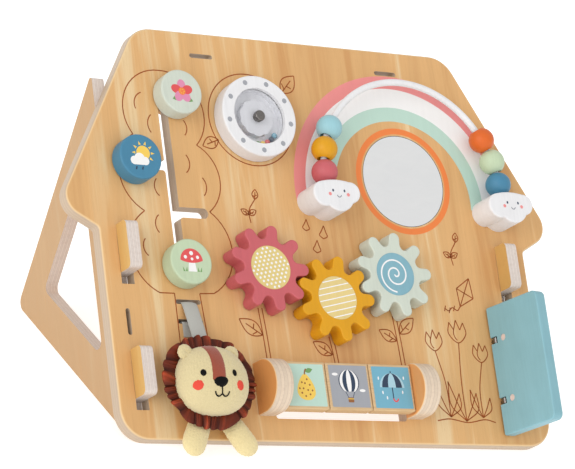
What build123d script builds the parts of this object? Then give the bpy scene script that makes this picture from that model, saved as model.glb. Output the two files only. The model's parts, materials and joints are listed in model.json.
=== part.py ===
from build123d import *
import math
import os

# A wooden busy house: a reclined house-shaped activity panel on two hooked side legs.
# Board axes: x to the right, y up the panel from its lower edge, n out of its front face.
# All lengths are millimetres, all angles are degrees.

# Stance
recline = 45.0

# Panel
panel_thickness = 10.0
wall_half_width = 190.0
house_shift = 2.0
wall_height = 158.0
roof_height = 159.3
top_half_width = 140.5
eave_overhang = 29.9
eave_rise_share = 0.562
eave_round = 16.0
wall_round = 4.0
top_round = 24.0
bottom_round = 22.0
panel_edge_round = 2.0
cut_overrun = 1.0
pick_margin = 0.01

# Strap slots
strap_slot_length = 20.0
strap_slot_width = 3.5
top_slot_x = 83.5
top_slot_inset = 18.8
side_slot_x = 172.3
side_slot_y = 87.3

# Legs and their hooks
leg_thickness = 10.0
leg_centre_x = 169.0
leg_toe_y = 6.0
leg_apex_y = 148.0
leg_top_y = 281.6
leg_bar = 29.5
leg_window_round = 6.0
leg_apex_round = 8.0
leg_top_round = 2.6
leg_edge_round = 0.8
hook_neck_bottoms = (30.0, 124.0)
hook_neck_height = 28.0
hook_rise = 8.2
hook_reach = 14.5
hook_round = 4.0
hook_lift = 8.3
hook_gap = 0.15
leg_slot_gap = 0.2

# Slider track and knobs
track_width = 8.0
track_x = -122.6
track_round = 2.5
knob_radius = 17.3
knob_top = 14.5
knob_gap = 0.6
knob_edge_round = 1.6
stem_gap = 0.3
mint_knob_place = (-112.9, 262.8)
blue_knob_place = (-154.4, 209.0)
green_knob_y = 130.5
right_branch_y = 173.0
right_branch_end_x = -98.3
retainer_radius = 9.0
retainer_thickness = 3.5
knob_screw_radius = 1.5
knob_screw_depth = 9.0
knob_screw_head_radius = 3.0
knob_screw_head_height = 1.6
screw_gap = 0.05

# Gears
gear_teeth = 9
gear_centres = ((-55.5, 128.7), (0.0, 107.6), (55.5, 128.7))
gear_tip_radius = 33.4
gear_root_radius = 22.4
tooth_tip_round = 4.6
tooth_root_round = 4.2
gear_lift = 1.2
gear_top = 15.0
gear_edge_round = 1.0
gear_face_radius = 16.8
gear_face_thickness = 1.0
gear_face_gap = 0.1
gear_axle_radius = 5.0
gear_axle_depth = 6.0
gear_head_radius = 8.0
gear_head_height = 1.8
gear_head_gap = 0.4
gear_washer_radius = 9.0
gear_washer_thickness = 0.9
run_gap = 0.05
wood_screw_radius = 1.8
wood_screw_reach = 12.0
wood_screw_head_radius = 3.6
wood_screw_head_height = 2.2

# Rattle
rattle_place = (-46.6, 249.0)
rattle_radius = 32.2
rattle_lift = 0.9
rattle_top = 13.5
rattle_edge_round = 1.4
rattle_mouth_radius = 22.2
rattle_cup_radius = 24.4
rattle_floor = 2.4
rattle_pane_bottom = 9.0
rattle_pane_thickness = 1.5
rattle_fit_gap = 0.1
hub_radius = 14.6
hub_lobe = 1.1
hub_lobes = 10
hub_gap = 0.4
bolt_radius = 3.0
bolt_head_radius = 4.2
bolt_head_gap = 0.3
bolt_head_height = 4.2
bolt_head_round = 1.2
bolt_hole_gap = 0.1
pane_hole_gap = 0.4
front_washer_radius = 8.0
front_washer_thickness = 0.6
back_washer_radius = 7.0
back_washer_thickness = 1.2
nut_flats = 10.0
nut_height = 5.0
shot_radius = 2.1
shot_gap = 0.3
shot_count = 9

# Mirror
mirror_place = (86.2, 210.0)
mirror_radius = 37.0
mirror_thickness = 2.0
mirror_gap = 0.1

# Rainbow wire, clouds and beads
arch_centre = (86.2, 205.5)
arch_radius = 81.0
arch_height = 13.0
wire_radius = 2.6
wire_insert = 10.0
cloud_thickness = 24.0
cloud_top_y = 198.4
cloud_width = 42.0
cloud_shift = 1.5
cloud_height = 25.0
cloud_arc_shares = (((-0.31, 0.43), (-0.02, 0.50), (0.29, 0.45)),
                    ((0.29, 0.45), (0.50, 0.10), (0.33, -0.21)),
                    ((0.33, -0.21), (0.06, -0.50), (-0.19, -0.34)),
                    ((-0.19, -0.34), (-0.50, 0.08), (-0.31, 0.43)))
cloud_notch_round = 2.5
cloud_edge_round = 1.5
cloud_screw_offset = 8.0
bead_radius = 10.0
bead_hole_radius = 4.8
bead_gap = 0.35
bead_rest_gap = 0.5

# Picture tiles
tile_width = 37.6
tile_height = 36.0
tile_gap = 0.6
tile_axis_y = 39.5
tile_axis_height = 9.4
tile_edge_round = 1.2
rod_radius = 3.0
rod_insert = 10.0
bracket_thickness = 15.0
bracket_radius = 20.0
bracket_edge_round = 1.2
bracket_screw_spacing = 20.0
window_half_height = 21.8
window_corner_round = 2.0

# Door
door_width = 53.0
door_height = 101.5
door_thickness = 10.0
door_middle_y = 58.5
door_axis_x = 149.0
door_axis_height = 4.2
door_axis_inset = 3.0
door_open_angle = 100.0
door_corner_round = 5.0
door_heel_round = 3.0
door_heel_ease = 0.5
door_edge_round = 1.2
door_eye_spacing = 48.0
door_notch_height = 5.4
door_notch_depth = 7.0
door_eye_radius = 2.6
door_eye_length = 4.0
door_post_radius = 1.4
door_post_depth = 8.0
door_pin_radius = 1.5
door_pin_length = 28.0
door_rivet_radius = 2.6
door_rivet_inset = 13.0
door_rivet_sink = 0.6

# Plush lion and its strap
lion_centre = (-121.0, 39.7)
lion_half_width = 29.6
lion_half_height = 26.0
lion_back = 0.6
lion_depth = 37.4
lion_section_shares = ((0.0, 0.52), (0.15, 0.86), (0.33, 0.98), (0.52, 1.0),
                       (0.71, 0.92), (0.87, 0.70), (1.0, 0.30))
soft_gap = 0.4
mane_back = 14.0
mane_thickness = 6.0
mane_half_width = 39.2
mane_half_height = 35.0
mane_ruffles = 22
ruffle_depth_share = 0.94
ear_places = (("left", -20.7), ("right", 17.6))
ear_rise = 20.2
ear_radius = 6.2
ear_back = 20.4
ear_thickness = 6.0
ear_section_shares = ((0.0, 0.72), (0.5, 1.0), (1.0, 0.72))
limb_xs = (("left", -1.4, -18.6), ("right", 17.4, 31.2))
limb_top = (16.0, 5.5)
limb_foot = (-14.4, 13.5)
limb_half_width = 10.2
limb_half_depth = 5.6
limb_section_shares = ((0.0, 0.70), (0.3, 0.86), (0.66, 1.0), (0.9, 0.80), (1.0, 0.42))
strap_width = 14.0
strap_slope = 11.0
strap_thickness = 0.8
strap_upper_y = 104.0
strap_lower_y = 89.0
strap_slot_reach = 18.0
strap_lift = 1.0
strap_tail_end_y = 77.0
strap_tail_lift = 0.1
strap_sewn_y = 57.4
strap_bend_gap = 0.7

# The leaning panel stands on its lower back edge, with the box of the whole object centred in depth.
lean_sin = math.sin(math.radians(recline))
lean_cos = math.cos(math.radians(recline))
up_panel = Vector(0, lean_cos, lean_sin)
out_panel = Vector(0, -lean_sin, lean_cos)
door_turn = math.radians(door_open_angle)
door_round_y = door_middle_y - door_height / 2 + door_corner_round
door_round_reach = door_width - door_axis_inset - door_corner_round
door_round_n = door_axis_height + door_round_reach * math.sin(door_turn)
door_round_n -= door_axis_inset * math.cos(door_turn)
door_round_depth = door_corner_round * math.hypot(lean_cos, lean_sin * math.sin(door_turn))
front_depth = door_round_y * lean_cos - door_round_n * lean_sin - door_round_depth
panel_height = wall_height + roof_height
back_depth = panel_height * lean_cos + panel_thickness * lean_sin
board_depth = -(front_depth + back_depth) / 2
board_height = panel_thickness * lean_cos
front = Plane(origin=(0, board_depth, board_height), x_dir=(1, 0, 0), z_dir=out_panel)
out_axis = Axis(front.origin, out_panel)


def board_point(x, y, n):
    """World place of a point given in board axes."""
    return front.from_local_coords(Vector(x, y, n))


def face_plane(x, y, n):
    """Plane parallel to the panel's face, centred on a board point."""
    return Plane(origin=board_point(x, y, n), x_dir=(1, 0, 0), z_dir=out_panel)


def side_plane(x):
    """Plane square to the panel whose sketch axes are board y and board n."""
    return Plane(origin=board_point(x, 0, 0), x_dir=up_panel, z_dir=(1, 0, 0))


def finish(piece, name):
    """Label a piece and write it under its own name."""
    piece.part.label = name
    export_step(piece.part, f"parts/{name}.step")


def at_level(corners, axis, level):
    """Those corners that lie at one level along an axis."""
    return corners.filter_by_position(axis, level - pick_margin, level + pick_margin)


def soft_outline(half_width, half_height):
    """Closed oval of four arcs, drawn in the sketch that is open."""
    diagonal = math.sqrt(0.5)
    corners = [(half_width, 0), (0, half_height), (-half_width, 0), (0, -half_height)]
    for start, end in zip(corners, corners[1:] + corners[:1]):
        middle = ((start[0] + end[0]) * diagonal, (start[1] + end[1]) * diagonal)
        ThreePointArc(start, middle, end)


def floor_n(y):
    """Board height of the floor behind the panel at a given distance up the panel."""
    return -panel_thickness - y * lean_sin / lean_cos


os.makedirs("parts", exist_ok=True)

# Front panel: house outline with rounded eaves, pierced for everything that it carries
eave_x = wall_half_width + eave_overhang
eave_y = wall_height + eave_rise_share * eave_overhang
top_slot_y = panel_height - top_slot_inset
half_house = [(wall_half_width, 0), (wall_half_width, wall_height), (eave_x, eave_y),
              (top_half_width, panel_height)]
house_right = [(house_shift + x, y) for x, y in half_house]
house_left = [(house_shift - x, y) for x, y in reversed(half_house)]
leg_slot_height = hook_neck_height + hook_lift + leg_slot_gap
leg_slot_width = leg_thickness + 2 * leg_slot_gap
tile_span = 3 * tile_width + 4 * tile_gap
branch_left_reach = track_x - blue_knob_place[0]
branch_right_reach = right_branch_end_x - track_x
track_height = mint_knob_place[1] - green_knob_y

with BuildPart() as front_panel:
    with BuildSketch(front) as house:
        with BuildLine():
            Polyline(*house_right, *house_left, close=True)
        make_face()
        for level, corner_round in ((panel_height, top_round), (eave_y, eave_round),
                                    (wall_height, wall_round), (0, bottom_round)):
            fillet(at_level(house.vertices(), Axis.Y, level), corner_round)
    extrude(amount=-panel_thickness)
    fillet(front_panel.faces().sort_by(out_axis)[-1].edges(), panel_edge_round)
    with BuildSketch(front):
        with Locations((-top_slot_x, top_slot_y), (top_slot_x, top_slot_y)):
            SlotOverall(strap_slot_length, strap_slot_width)
        with Locations((-side_slot_x, side_slot_y), (side_slot_x, side_slot_y)):
            SlotOverall(strap_slot_length, strap_slot_width, rotation=90)
        for strap_y in (strap_upper_y, strap_lower_y):
            with Locations((lion_centre[0], strap_y)):
                SlotOverall(strap_slot_reach + strap_slot_width, strap_slot_width)
        for neck_bottom in hook_neck_bottoms:
            slot_middle = neck_bottom - hook_lift + leg_slot_height / 2
            with Locations((-leg_centre_x, slot_middle), (leg_centre_x, slot_middle)):
                Rectangle(leg_slot_width, leg_slot_height)
        with Locations((0, tile_axis_y)):
            RectangleRounded(tile_span, 2 * window_half_height, window_corner_round)
    extrude(amount=-panel_thickness, mode=Mode.SUBTRACT)
    with BuildSketch(front) as track:
        with Locations((track_x, green_knob_y + track_height / 2)):
            SlotCenterToCenter(track_height, track_width, rotation=90)
        with Locations((blue_knob_place[0] + branch_left_reach / 2, blue_knob_place[1])):
            SlotCenterToCenter(branch_left_reach, track_width)
        for branch_y in (right_branch_y, mint_knob_place[1]):
            with Locations((track_x + branch_right_reach / 2, branch_y)):
                SlotCenterToCenter(branch_right_reach, track_width)
        for branch_y, side in ((right_branch_y, 1), (blue_knob_place[1], -1)):
            corners = at_level(track.vertices(), Axis.X, track_x + side * track_width / 2)
            for edge_y in (branch_y - track_width / 2, branch_y + track_width / 2):
                fillet(at_level(corners, Axis.Y, edge_y), track_round)
    extrude(amount=-panel_thickness, mode=Mode.SUBTRACT)
    with BuildSketch(front):
        with Locations(mirror_place):
            Circle(mirror_radius + mirror_gap)
    extrude(amount=-mirror_thickness, mode=Mode.SUBTRACT)
    with BuildSketch(front):
        with Locations(*gear_centres):
            Circle(gear_axle_radius + screw_gap)
    extrude(amount=-gear_axle_depth, mode=Mode.SUBTRACT)
    with BuildSketch(front):
        with Locations(rattle_place):
            Circle(bolt_radius + bolt_hole_gap)
    extrude(amount=-panel_thickness, mode=Mode.SUBTRACT)
    door_eye_ys = [door_middle_y - door_eye_spacing / 2, door_middle_y + door_eye_spacing / 2]
    with BuildSketch(front):
        with Locations(*[(door_axis_x, y) for y in door_eye_ys]):
            Circle(door_post_radius + screw_gap)
    extrude(amount=-door_post_depth, mode=Mode.SUBTRACT)
    bracket_x = tile_span / 2 + bracket_thickness / 2
    bracket_screw_ys = (tile_axis_y - bracket_screw_spacing / 2, tile_axis_y + bracket_screw_spacing / 2)
    bracket_screw_places = [(side * bracket_x, y) for side in (-1, 1) for y in bracket_screw_ys]
    cloud_y = cloud_top_y - cloud_height / 2
    cloud_xs = (arch_centre[0] - arch_radius, arch_centre[0] + arch_radius)
    cloud_block_xs = [x + cloud_shift for x in cloud_xs]
    cloud_screw_places = [(x + side * cloud_screw_offset, cloud_y) for x in cloud_block_xs for side in (-1, 1)]
    with BuildSketch(front.offset(-panel_thickness)):
        with Locations(*gear_centres, *bracket_screw_places, *cloud_screw_places):
            Circle(wood_screw_radius + screw_gap)
    extrude(amount=panel_thickness, mode=Mode.SUBTRACT)
    with BuildSketch(front.offset(-panel_thickness)):
        with Locations(*gear_centres, *bracket_screw_places, *cloud_screw_places):
            Circle(wood_screw_head_radius + screw_gap)
    extrude(amount=wood_screw_head_height, mode=Mode.SUBTRACT)
finish(front_panel, "front_panel")

# Legs: triangular plates with a triangular window and two hooks that rise through the panel
leg_corners = [(leg_toe_y, floor_n(leg_toe_y)), (leg_toe_y, -panel_thickness),
               (leg_top_y, -panel_thickness), (leg_apex_y, floor_n(leg_apex_y))]


def make_leg(centre_x, name):
    """One side leg, its plate centred on the given board x."""
    with BuildPart() as leg:
        with BuildSketch(side_plane(centre_x - leg_thickness / 2)) as plate:
            with BuildLine():
                Polyline(*leg_corners, close=True)
            make_face()
            fillet(plate.vertices().sort_by(Axis.Y)[0], leg_apex_round)
            fillet(plate.vertices().sort_by(Axis.X)[-1], leg_top_round)
            with BuildSketch(mode=Mode.SUBTRACT) as opening:
                with BuildLine():
                    Polyline(*leg_corners, close=True)
                make_face()
                offset(amount=-leg_bar, kind=Kind.INTERSECTION)
                fillet(opening.vertices(), leg_window_round)
            for neck_bottom in hook_neck_bottoms:
                neck_top = neck_bottom + hook_neck_height
                hook_top = neck_top + hook_rise
                with BuildLine():
                    Polyline((neck_bottom, -panel_thickness), (neck_bottom, hook_reach),
                             (hook_top, hook_reach), (hook_top, hook_gap),
                             (neck_top, hook_gap), (neck_top, -panel_thickness), close=True)
                make_face()
            fillet(at_level(plate.vertices(), Axis.Y, hook_reach), hook_round)
        extrude(amount=leg_thickness)
    finish(leg, name)


make_leg(-leg_centre_x, "leg_left")
make_leg(leg_centre_x, "leg_right")

# Mirror let into the panel
with BuildPart() as mirror_disc:
    with BuildSketch(face_plane(*mirror_place, -mirror_thickness)):
        Circle(mirror_radius)
    extrude(amount=mirror_thickness)
finish(mirror_disc, "mirror_disc")

# Rainbow wire: a half circle on two short legs that stand in the clouds
wire_plane = front.offset(arch_height)
wire_end_y = cloud_top_y - wire_insert
with BuildPart() as rainbow_wire:
    with BuildLine(wire_plane) as wire_path:
        Line((cloud_xs[0], wire_end_y), (cloud_xs[0], arch_centre[1]))
        ThreePointArc((cloud_xs[0], arch_centre[1]), (arch_centre[0], arch_centre[1] + arch_radius),
                      (cloud_xs[1], arch_centre[1]))
        Line((cloud_xs[1], arch_centre[1]), (cloud_xs[1], wire_end_y))
    with BuildSketch(Plane(origin=board_point(cloud_xs[0], wire_end_y, arch_height), z_dir=up_panel)):
        Circle(wire_radius)
    sweep()
finish(rainbow_wire, "rainbow_wire")


# Clouds: thick blocks with a lobed outline, drilled for the wire and for two screws from behind
def make_cloud(centre_x, name):
    """One cloud block a little to the right of its end of the wire."""
    with BuildPart() as cloud:
        with BuildSketch(face_plane(centre_x + cloud_shift, cloud_y, 0)) as lobes:
            with BuildLine():
                for arc in cloud_arc_shares:
                    ThreePointArc(*[(x_share * cloud_width, y_share * cloud_height)
                                    for x_share, y_share in arc])
            make_face()
            fillet(lobes.vertices(), cloud_notch_round)
        extrude(amount=cloud_thickness)
        fillet(cloud.faces().sort_by(out_axis)[-1].edges(), cloud_edge_round)
        with BuildSketch(Plane(origin=board_point(centre_x, wire_end_y, arch_height), z_dir=up_panel)):
            Circle(wire_radius + screw_gap)
        extrude(amount=cloud_height, mode=Mode.SUBTRACT)
        with BuildSketch(face_plane(centre_x + cloud_shift, cloud_y, 0)):
            with Locations((-cloud_screw_offset, 0), (cloud_screw_offset, 0)):
                Circle(wood_screw_radius + screw_gap)
        extrude(amount=wood_screw_reach, mode=Mode.SUBTRACT)
    finish(cloud, name)


make_cloud(cloud_xs[0], "cloud_left")
make_cloud(cloud_xs[1], "cloud_right")


def make_screws(places, reach, name):
    """Countersunk wood screws driven from the panel's back face, one at each board place."""
    with BuildPart() as screws:
        with BuildSketch(front.offset(-panel_thickness)):
            with Locations(*places):
                Circle(wood_screw_radius)
        extrude(amount=panel_thickness + reach - cut_overrun)
        with BuildSketch(front.offset(-panel_thickness)):
            with Locations(*places):
                Circle(wood_screw_head_radius)
        extrude(amount=wood_screw_head_height)
    finish(screws, name)


make_screws(cloud_screw_places, wood_screw_reach, "cloud_screws")
make_screws(bracket_screw_places, wood_screw_reach, "bracket_screws")

# Beads: drilled balls threaded on the arch, three resting on each cloud
bead_half_length = math.sqrt(bead_radius ** 2 - bead_hole_radius ** 2)
bead_step = 2 * math.degrees(math.atan((bead_half_length + bead_gap / 2) / (arch_radius - bead_hole_radius)))
first_rise = cloud_top_y + bead_rest_gap + bead_half_length - arch_centre[1]
first_bead_angle = math.degrees(math.asin(first_rise / arch_radius))


def make_bead(side, place, name):
    """One bead on the left (-1) or right (1) half of the arch, counted up from the cloud."""
    angle = math.radians(first_bead_angle + place * bead_step)
    x = arch_centre[0] + side * arch_radius * math.cos(angle)
    y = arch_centre[1] + arch_radius * math.sin(angle)
    along = up_panel * math.cos(angle) - Vector(1, 0, 0) * side * math.sin(angle)
    with BuildPart(Plane(origin=board_point(x, y, arch_height), z_dir=along)) as bead:
        Sphere(bead_radius)
        Cylinder(bead_hole_radius, 2 * bead_radius, mode=Mode.SUBTRACT)
    finish(bead, name)


for place, name in enumerate(("bead_red", "bead_yellow", "bead_light_blue")):
    make_bead(-1, place, name)
for place, name in enumerate(("bead_blue", "bead_green", "bead_orange")):
    make_bead(1, place, name)

# Gear train: three wheels of equal teeth, in mesh as they stand
gear_angle_first = math.degrees(math.atan2(gear_centres[1][1] - gear_centres[0][1],
                                           gear_centres[1][0] - gear_centres[0][0]))
gear_angle_second = math.degrees(math.atan2(gear_centres[2][1] - gear_centres[1][1],
                                            gear_centres[2][0] - gear_centres[1][0]))
tooth_pitch = 360 / gear_teeth
red_phase = gear_angle_first + tooth_pitch / 2
yellow_phase = gear_angle_first + 180
yellow_gap_phase = yellow_phase + tooth_pitch / 2
yellow_gap_offset = (yellow_gap_phase - gear_angle_second + tooth_pitch / 2) % tooth_pitch - tooth_pitch / 2
mint_phase = gear_angle_second + 180 - yellow_gap_offset


def tooth_outline(phase):
    """Gear outline: round tooth tips and round gaps joined by their common tangents."""
    half_pitch = tooth_pitch / 2
    tip_centre = Vector(gear_tip_radius - tooth_tip_round, 0)
    gap_centre = Vector(gear_root_radius + tooth_root_round, 0).rotate(Axis.Z, half_pitch)
    across = gap_centre - tip_centre
    lean = math.degrees(math.acos((tooth_tip_round + tooth_root_round) / across.length))
    toward = across.normalized().rotate(Axis.Z, -lean)
    tip_end = tip_centre + toward * tooth_tip_round
    gap_start = gap_centre - toward * tooth_root_round
    tip_start = Vector(tip_end.X, -tip_end.Y)
    gap_end = Vector(gap_start.X, -gap_start.Y).rotate(Axis.Z, tooth_pitch)
    tip_middle = Vector(gear_tip_radius, 0)
    gap_middle = Vector(gear_root_radius, 0).rotate(Axis.Z, half_pitch)
    for tooth in range(gear_teeth):
        points = [p.rotate(Axis.Z, phase + tooth * tooth_pitch)
                  for p in (tip_start, tip_middle, tip_end, gap_start, gap_middle, gap_end)]
        next_tip = tip_start.rotate(Axis.Z, phase + (tooth + 1) * tooth_pitch)
        ThreePointArc(points[0], points[1], points[2])
        Line(points[2], points[3])
        ThreePointArc(points[3], points[4], points[5])
        Line(points[5], next_tip)


gear_face_bottom = gear_top - gear_face_thickness
gear_head_bottom = gear_face_bottom - gear_head_gap - gear_head_height


def make_gear(centre, phase, name):
    """One gear wheel with its bore, a pocket for the axle head and a seat for its face disc."""
    with BuildPart() as gear:
        with BuildSketch(face_plane(*centre, gear_lift)):
            with BuildLine():
                tooth_outline(phase)
            make_face()
        extrude(amount=gear_top - gear_lift)
        fillet(gear.faces().sort_by(out_axis)[-1].edges(), gear_edge_round)
        with BuildSketch(face_plane(*centre, gear_lift)):
            Circle(gear_axle_radius + run_gap)
        extrude(amount=gear_top - gear_lift, mode=Mode.SUBTRACT)
        with BuildSketch(face_plane(*centre, gear_head_bottom - gear_head_gap)):
            Circle(gear_head_radius + gear_head_gap)
        extrude(amount=gear_top, mode=Mode.SUBTRACT)
        with BuildSketch(face_plane(*centre, gear_face_bottom)):
            Circle(gear_face_radius + gear_face_gap)
        extrude(amount=gear_top, mode=Mode.SUBTRACT)
    finish(gear, name)


def make_gear_face(centre, name):
    """Round face disc that covers a gear's axle."""
    with BuildPart() as disc:
        with BuildSketch(face_plane(*centre, gear_face_bottom)):
            Circle(gear_face_radius)
        extrude(amount=gear_face_thickness)
    finish(disc, name)


gear_phases = (red_phase, yellow_phase, mint_phase)
for centre, phase, colour in zip(gear_centres, gear_phases, ("red", "yellow", "mint")):
    make_gear(centre, phase, f"gear_{colour}")
    make_gear_face(centre, f"gear_face_{colour}")

with BuildPart() as gear_axles:
    with BuildSketch(front.offset(-gear_axle_depth)):
        with Locations(*gear_centres):
            Circle(gear_axle_radius)
    extrude(amount=gear_axle_depth + gear_head_bottom)
    with BuildSketch(front.offset(gear_head_bottom)):
        with Locations(*gear_centres):
            Circle(gear_head_radius)
    extrude(amount=gear_head_height)
    with BuildSketch(front.offset(-gear_axle_depth)):
        with Locations(*gear_centres):
            Circle(wood_screw_radius + screw_gap)
    extrude(amount=gear_axle_depth + gear_head_bottom - gear_head_height, mode=Mode.SUBTRACT)
finish(gear_axles, "gear_axles")
make_screws(gear_centres, gear_head_bottom - 2 * gear_head_height, "gear_axle_screws")

with BuildPart() as gear_washers:
    with BuildSketch(front):
        with Locations(*gear_centres):
            Circle(gear_washer_radius)
            Circle(gear_axle_radius + run_gap, mode=Mode.SUBTRACT)
    extrude(amount=gear_washer_thickness)
finish(gear_washers, "gear_washers")

# Rattle: a rim and a cup that trap loose shot behind a clear pane, turning on one bolt
with BuildPart() as rattle_rim:
    with BuildSketch(face_plane(*rattle_place, rattle_lift)):
        Circle(rattle_radius)
    extrude(amount=rattle_top - rattle_lift)
    fillet(rattle_rim.faces().sort_by(out_axis)[-1].edges(), rattle_edge_round)
    with BuildSketch(face_plane(*rattle_place, rattle_lift)):
        Circle(rattle_mouth_radius)
    extrude(amount=rattle_top, mode=Mode.SUBTRACT)
    with BuildSketch(face_plane(*rattle_place, rattle_lift)):
        Circle(rattle_cup_radius + rattle_fit_gap)
    extrude(amount=rattle_pane_bottom + rattle_pane_thickness - rattle_lift, mode=Mode.SUBTRACT)
finish(rattle_rim, "rattle_rim")

with BuildPart() as rattle_cup:
    with BuildSketch(face_plane(*rattle_place, rattle_lift)):
        Circle(rattle_cup_radius)
    extrude(amount=rattle_pane_bottom - rattle_lift)
    with BuildSketch(face_plane(*rattle_place, rattle_lift + rattle_floor)):
        Circle(rattle_mouth_radius)
    extrude(amount=rattle_pane_bottom, mode=Mode.SUBTRACT)
    with BuildSketch(face_plane(*rattle_place, rattle_lift)):
        Circle(bolt_radius + run_gap)
    extrude(amount=rattle_floor, mode=Mode.SUBTRACT)
finish(rattle_cup, "rattle_cup")

with BuildPart() as rattle_pane:
    with BuildSketch(face_plane(*rattle_place, rattle_pane_bottom)):
        Circle(rattle_cup_radius)
        Circle(bolt_radius + pane_hole_gap, mode=Mode.SUBTRACT)
    extrude(amount=rattle_pane_thickness)
finish(rattle_pane, "rattle_pane")

with BuildPart() as rattle_hub:
    with BuildSketch(face_plane(*rattle_place, rattle_lift + rattle_floor)):
        with BuildLine():
            lobe_turn = 360 / hub_lobes
            for lobe in range(hub_lobes):
                rim_points = [Vector(radius, 0).rotate(Axis.Z, (lobe + turn_share) * lobe_turn)
                              for radius, turn_share in ((hub_radius - hub_lobe, 0), (hub_radius, 1 / 2),
                                                         (hub_radius - hub_lobe, 1))]
                ThreePointArc(*rim_points)
        make_face()
        Circle(bolt_radius + run_gap, mode=Mode.SUBTRACT)
    extrude(amount=rattle_pane_bottom - hub_gap - rattle_lift - rattle_floor)
finish(rattle_hub, "rattle_hub")

shot_orbit = rattle_mouth_radius - shot_radius - shot_gap
shot_step = 2 * math.degrees(math.asin((shot_radius + shot_gap / 2) / shot_orbit))
with BuildPart(face_plane(*rattle_place, rattle_lift + rattle_floor + shot_radius + shot_gap)) as rattle_shot:
    with PolarLocations(shot_orbit, shot_count, -90 - (shot_count - 1) * shot_step / 2,
                        (shot_count - 1) * shot_step, endpoint=True):
        Sphere(shot_radius)
finish(rattle_shot, "rattle_shot")

bolt_head_bottom = rattle_pane_bottom + rattle_pane_thickness + bolt_head_gap
bolt_tail = panel_thickness + back_washer_thickness + nut_height
with BuildPart() as rattle_bolt:
    with BuildSketch(face_plane(*rattle_place, -bolt_tail)):
        Circle(bolt_radius)
    extrude(amount=bolt_tail + bolt_head_bottom)
    with BuildSketch(face_plane(*rattle_place, bolt_head_bottom)):
        Circle(bolt_head_radius)
    extrude(amount=bolt_head_height)
    fillet(rattle_bolt.faces().sort_by(out_axis)[-1].edges(), bolt_head_round)
finish(rattle_bolt, "rattle_bolt")

with BuildPart() as rattle_washers:
    with BuildSketch(face_plane(*rattle_place, 0)):
        Circle(front_washer_radius)
        Circle(bolt_radius + bolt_hole_gap, mode=Mode.SUBTRACT)
    extrude(amount=front_washer_thickness)
    with BuildSketch(face_plane(*rattle_place, -panel_thickness - back_washer_thickness)):
        Circle(back_washer_radius)
        Circle(bolt_radius + bolt_hole_gap, mode=Mode.SUBTRACT)
    extrude(amount=back_washer_thickness)
finish(rattle_washers, "rattle_washers")

with BuildPart() as rattle_nut:
    with BuildSketch(face_plane(*rattle_place, -bolt_tail)):
        RegularPolygon(nut_flats / 2, 6, major_radius=False)
        Circle(bolt_radius + screw_gap, mode=Mode.SUBTRACT)
    extrude(amount=nut_height)
finish(rattle_nut, "rattle_nut")


# Picture tiles: flat plates that flip on one rod between two D-shaped brackets
def make_bracket(side, name):
    """One bracket beside the tile window, on the left (-1) or right (1)."""
    inner_x = tile_span / 2
    start_x = inner_x if side > 0 else -inner_x - bracket_thickness
    with BuildPart() as bracket:
        with BuildSketch(side_plane(start_x)):
            with Locations((tile_axis_y, tile_axis_height)):
                Circle(bracket_radius)
            with Locations((tile_axis_y, tile_axis_height / 2)):
                Rectangle(2 * bracket_radius, tile_axis_height)
            with Locations((tile_axis_y, -bracket_radius)):
                Rectangle(4 * bracket_radius, 2 * bracket_radius, mode=Mode.SUBTRACT)
        extrude(amount=bracket_thickness)
        fillet(bracket.edges().filter_by(GeomType.CIRCLE), bracket_edge_round)
        with BuildSketch(side_plane(side * inner_x)):
            with Locations((tile_axis_y, tile_axis_height)):
                Circle(rod_radius + screw_gap)
        extrude(amount=side * rod_insert, mode=Mode.SUBTRACT)
        with BuildSketch(front):
            with Locations(*[(side * bracket_x, y) for y in bracket_screw_ys]):
                Circle(wood_screw_radius + screw_gap)
        extrude(amount=wood_screw_reach, mode=Mode.SUBTRACT)
    finish(bracket, name)


make_bracket(-1, "bracket_left")
make_bracket(1, "bracket_right")

rod_length = tile_span + 2 * (rod_insert - cut_overrun)
with BuildPart() as tile_rod:
    with BuildSketch(side_plane(-rod_length / 2)):
        with Locations((tile_axis_y, tile_axis_height)):
            Circle(rod_radius)
    extrude(amount=rod_length)
finish(tile_rod, "tile_rod")


def make_tile(column, name):
    """One flip tile, in column -1, 0 or 1 along the rod."""
    left_x = column * (tile_width + tile_gap) - tile_width / 2
    with BuildPart() as tile:
        with BuildSketch(side_plane(left_x)):
            with Locations((tile_axis_y, tile_axis_height)):
                Rectangle(tile_height, panel_thickness)
        extrude(amount=tile_width)
        fillet(tile.edges(), tile_edge_round)
        with BuildSketch(side_plane(left_x)):
            with Locations((tile_axis_y, tile_axis_height)):
                Circle(rod_radius + run_gap)
        extrude(amount=tile_width, mode=Mode.SUBTRACT)
    finish(tile, name)


for column, name in ((-1, "tile_left"), (0, "tile_middle"), (1, "tile_right")):
    make_tile(column, name)

# Door: hung on two eyes, standing open on its heel
door_across = Vector(1, 0, 0) * -math.cos(door_turn) + out_panel * math.sin(door_turn)
door_outward = Vector(1, 0, 0) * math.sin(door_turn) + out_panel * math.cos(door_turn)
door_hinge = board_point(door_axis_x, door_middle_y, door_axis_height)
door_face = Plane(origin=door_hinge, x_dir=door_across, z_dir=door_outward)
door_end = Plane(origin=door_hinge, x_dir=door_across, z_dir=up_panel)
door_pin_axis = Axis(door_hinge, up_panel)
door_across_axis = Axis(door_hinge, door_across)
door_outward_axis = Axis(door_hinge, door_outward)
door_eye_offsets = (-door_eye_spacing / 2, door_eye_spacing / 2)

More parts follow.
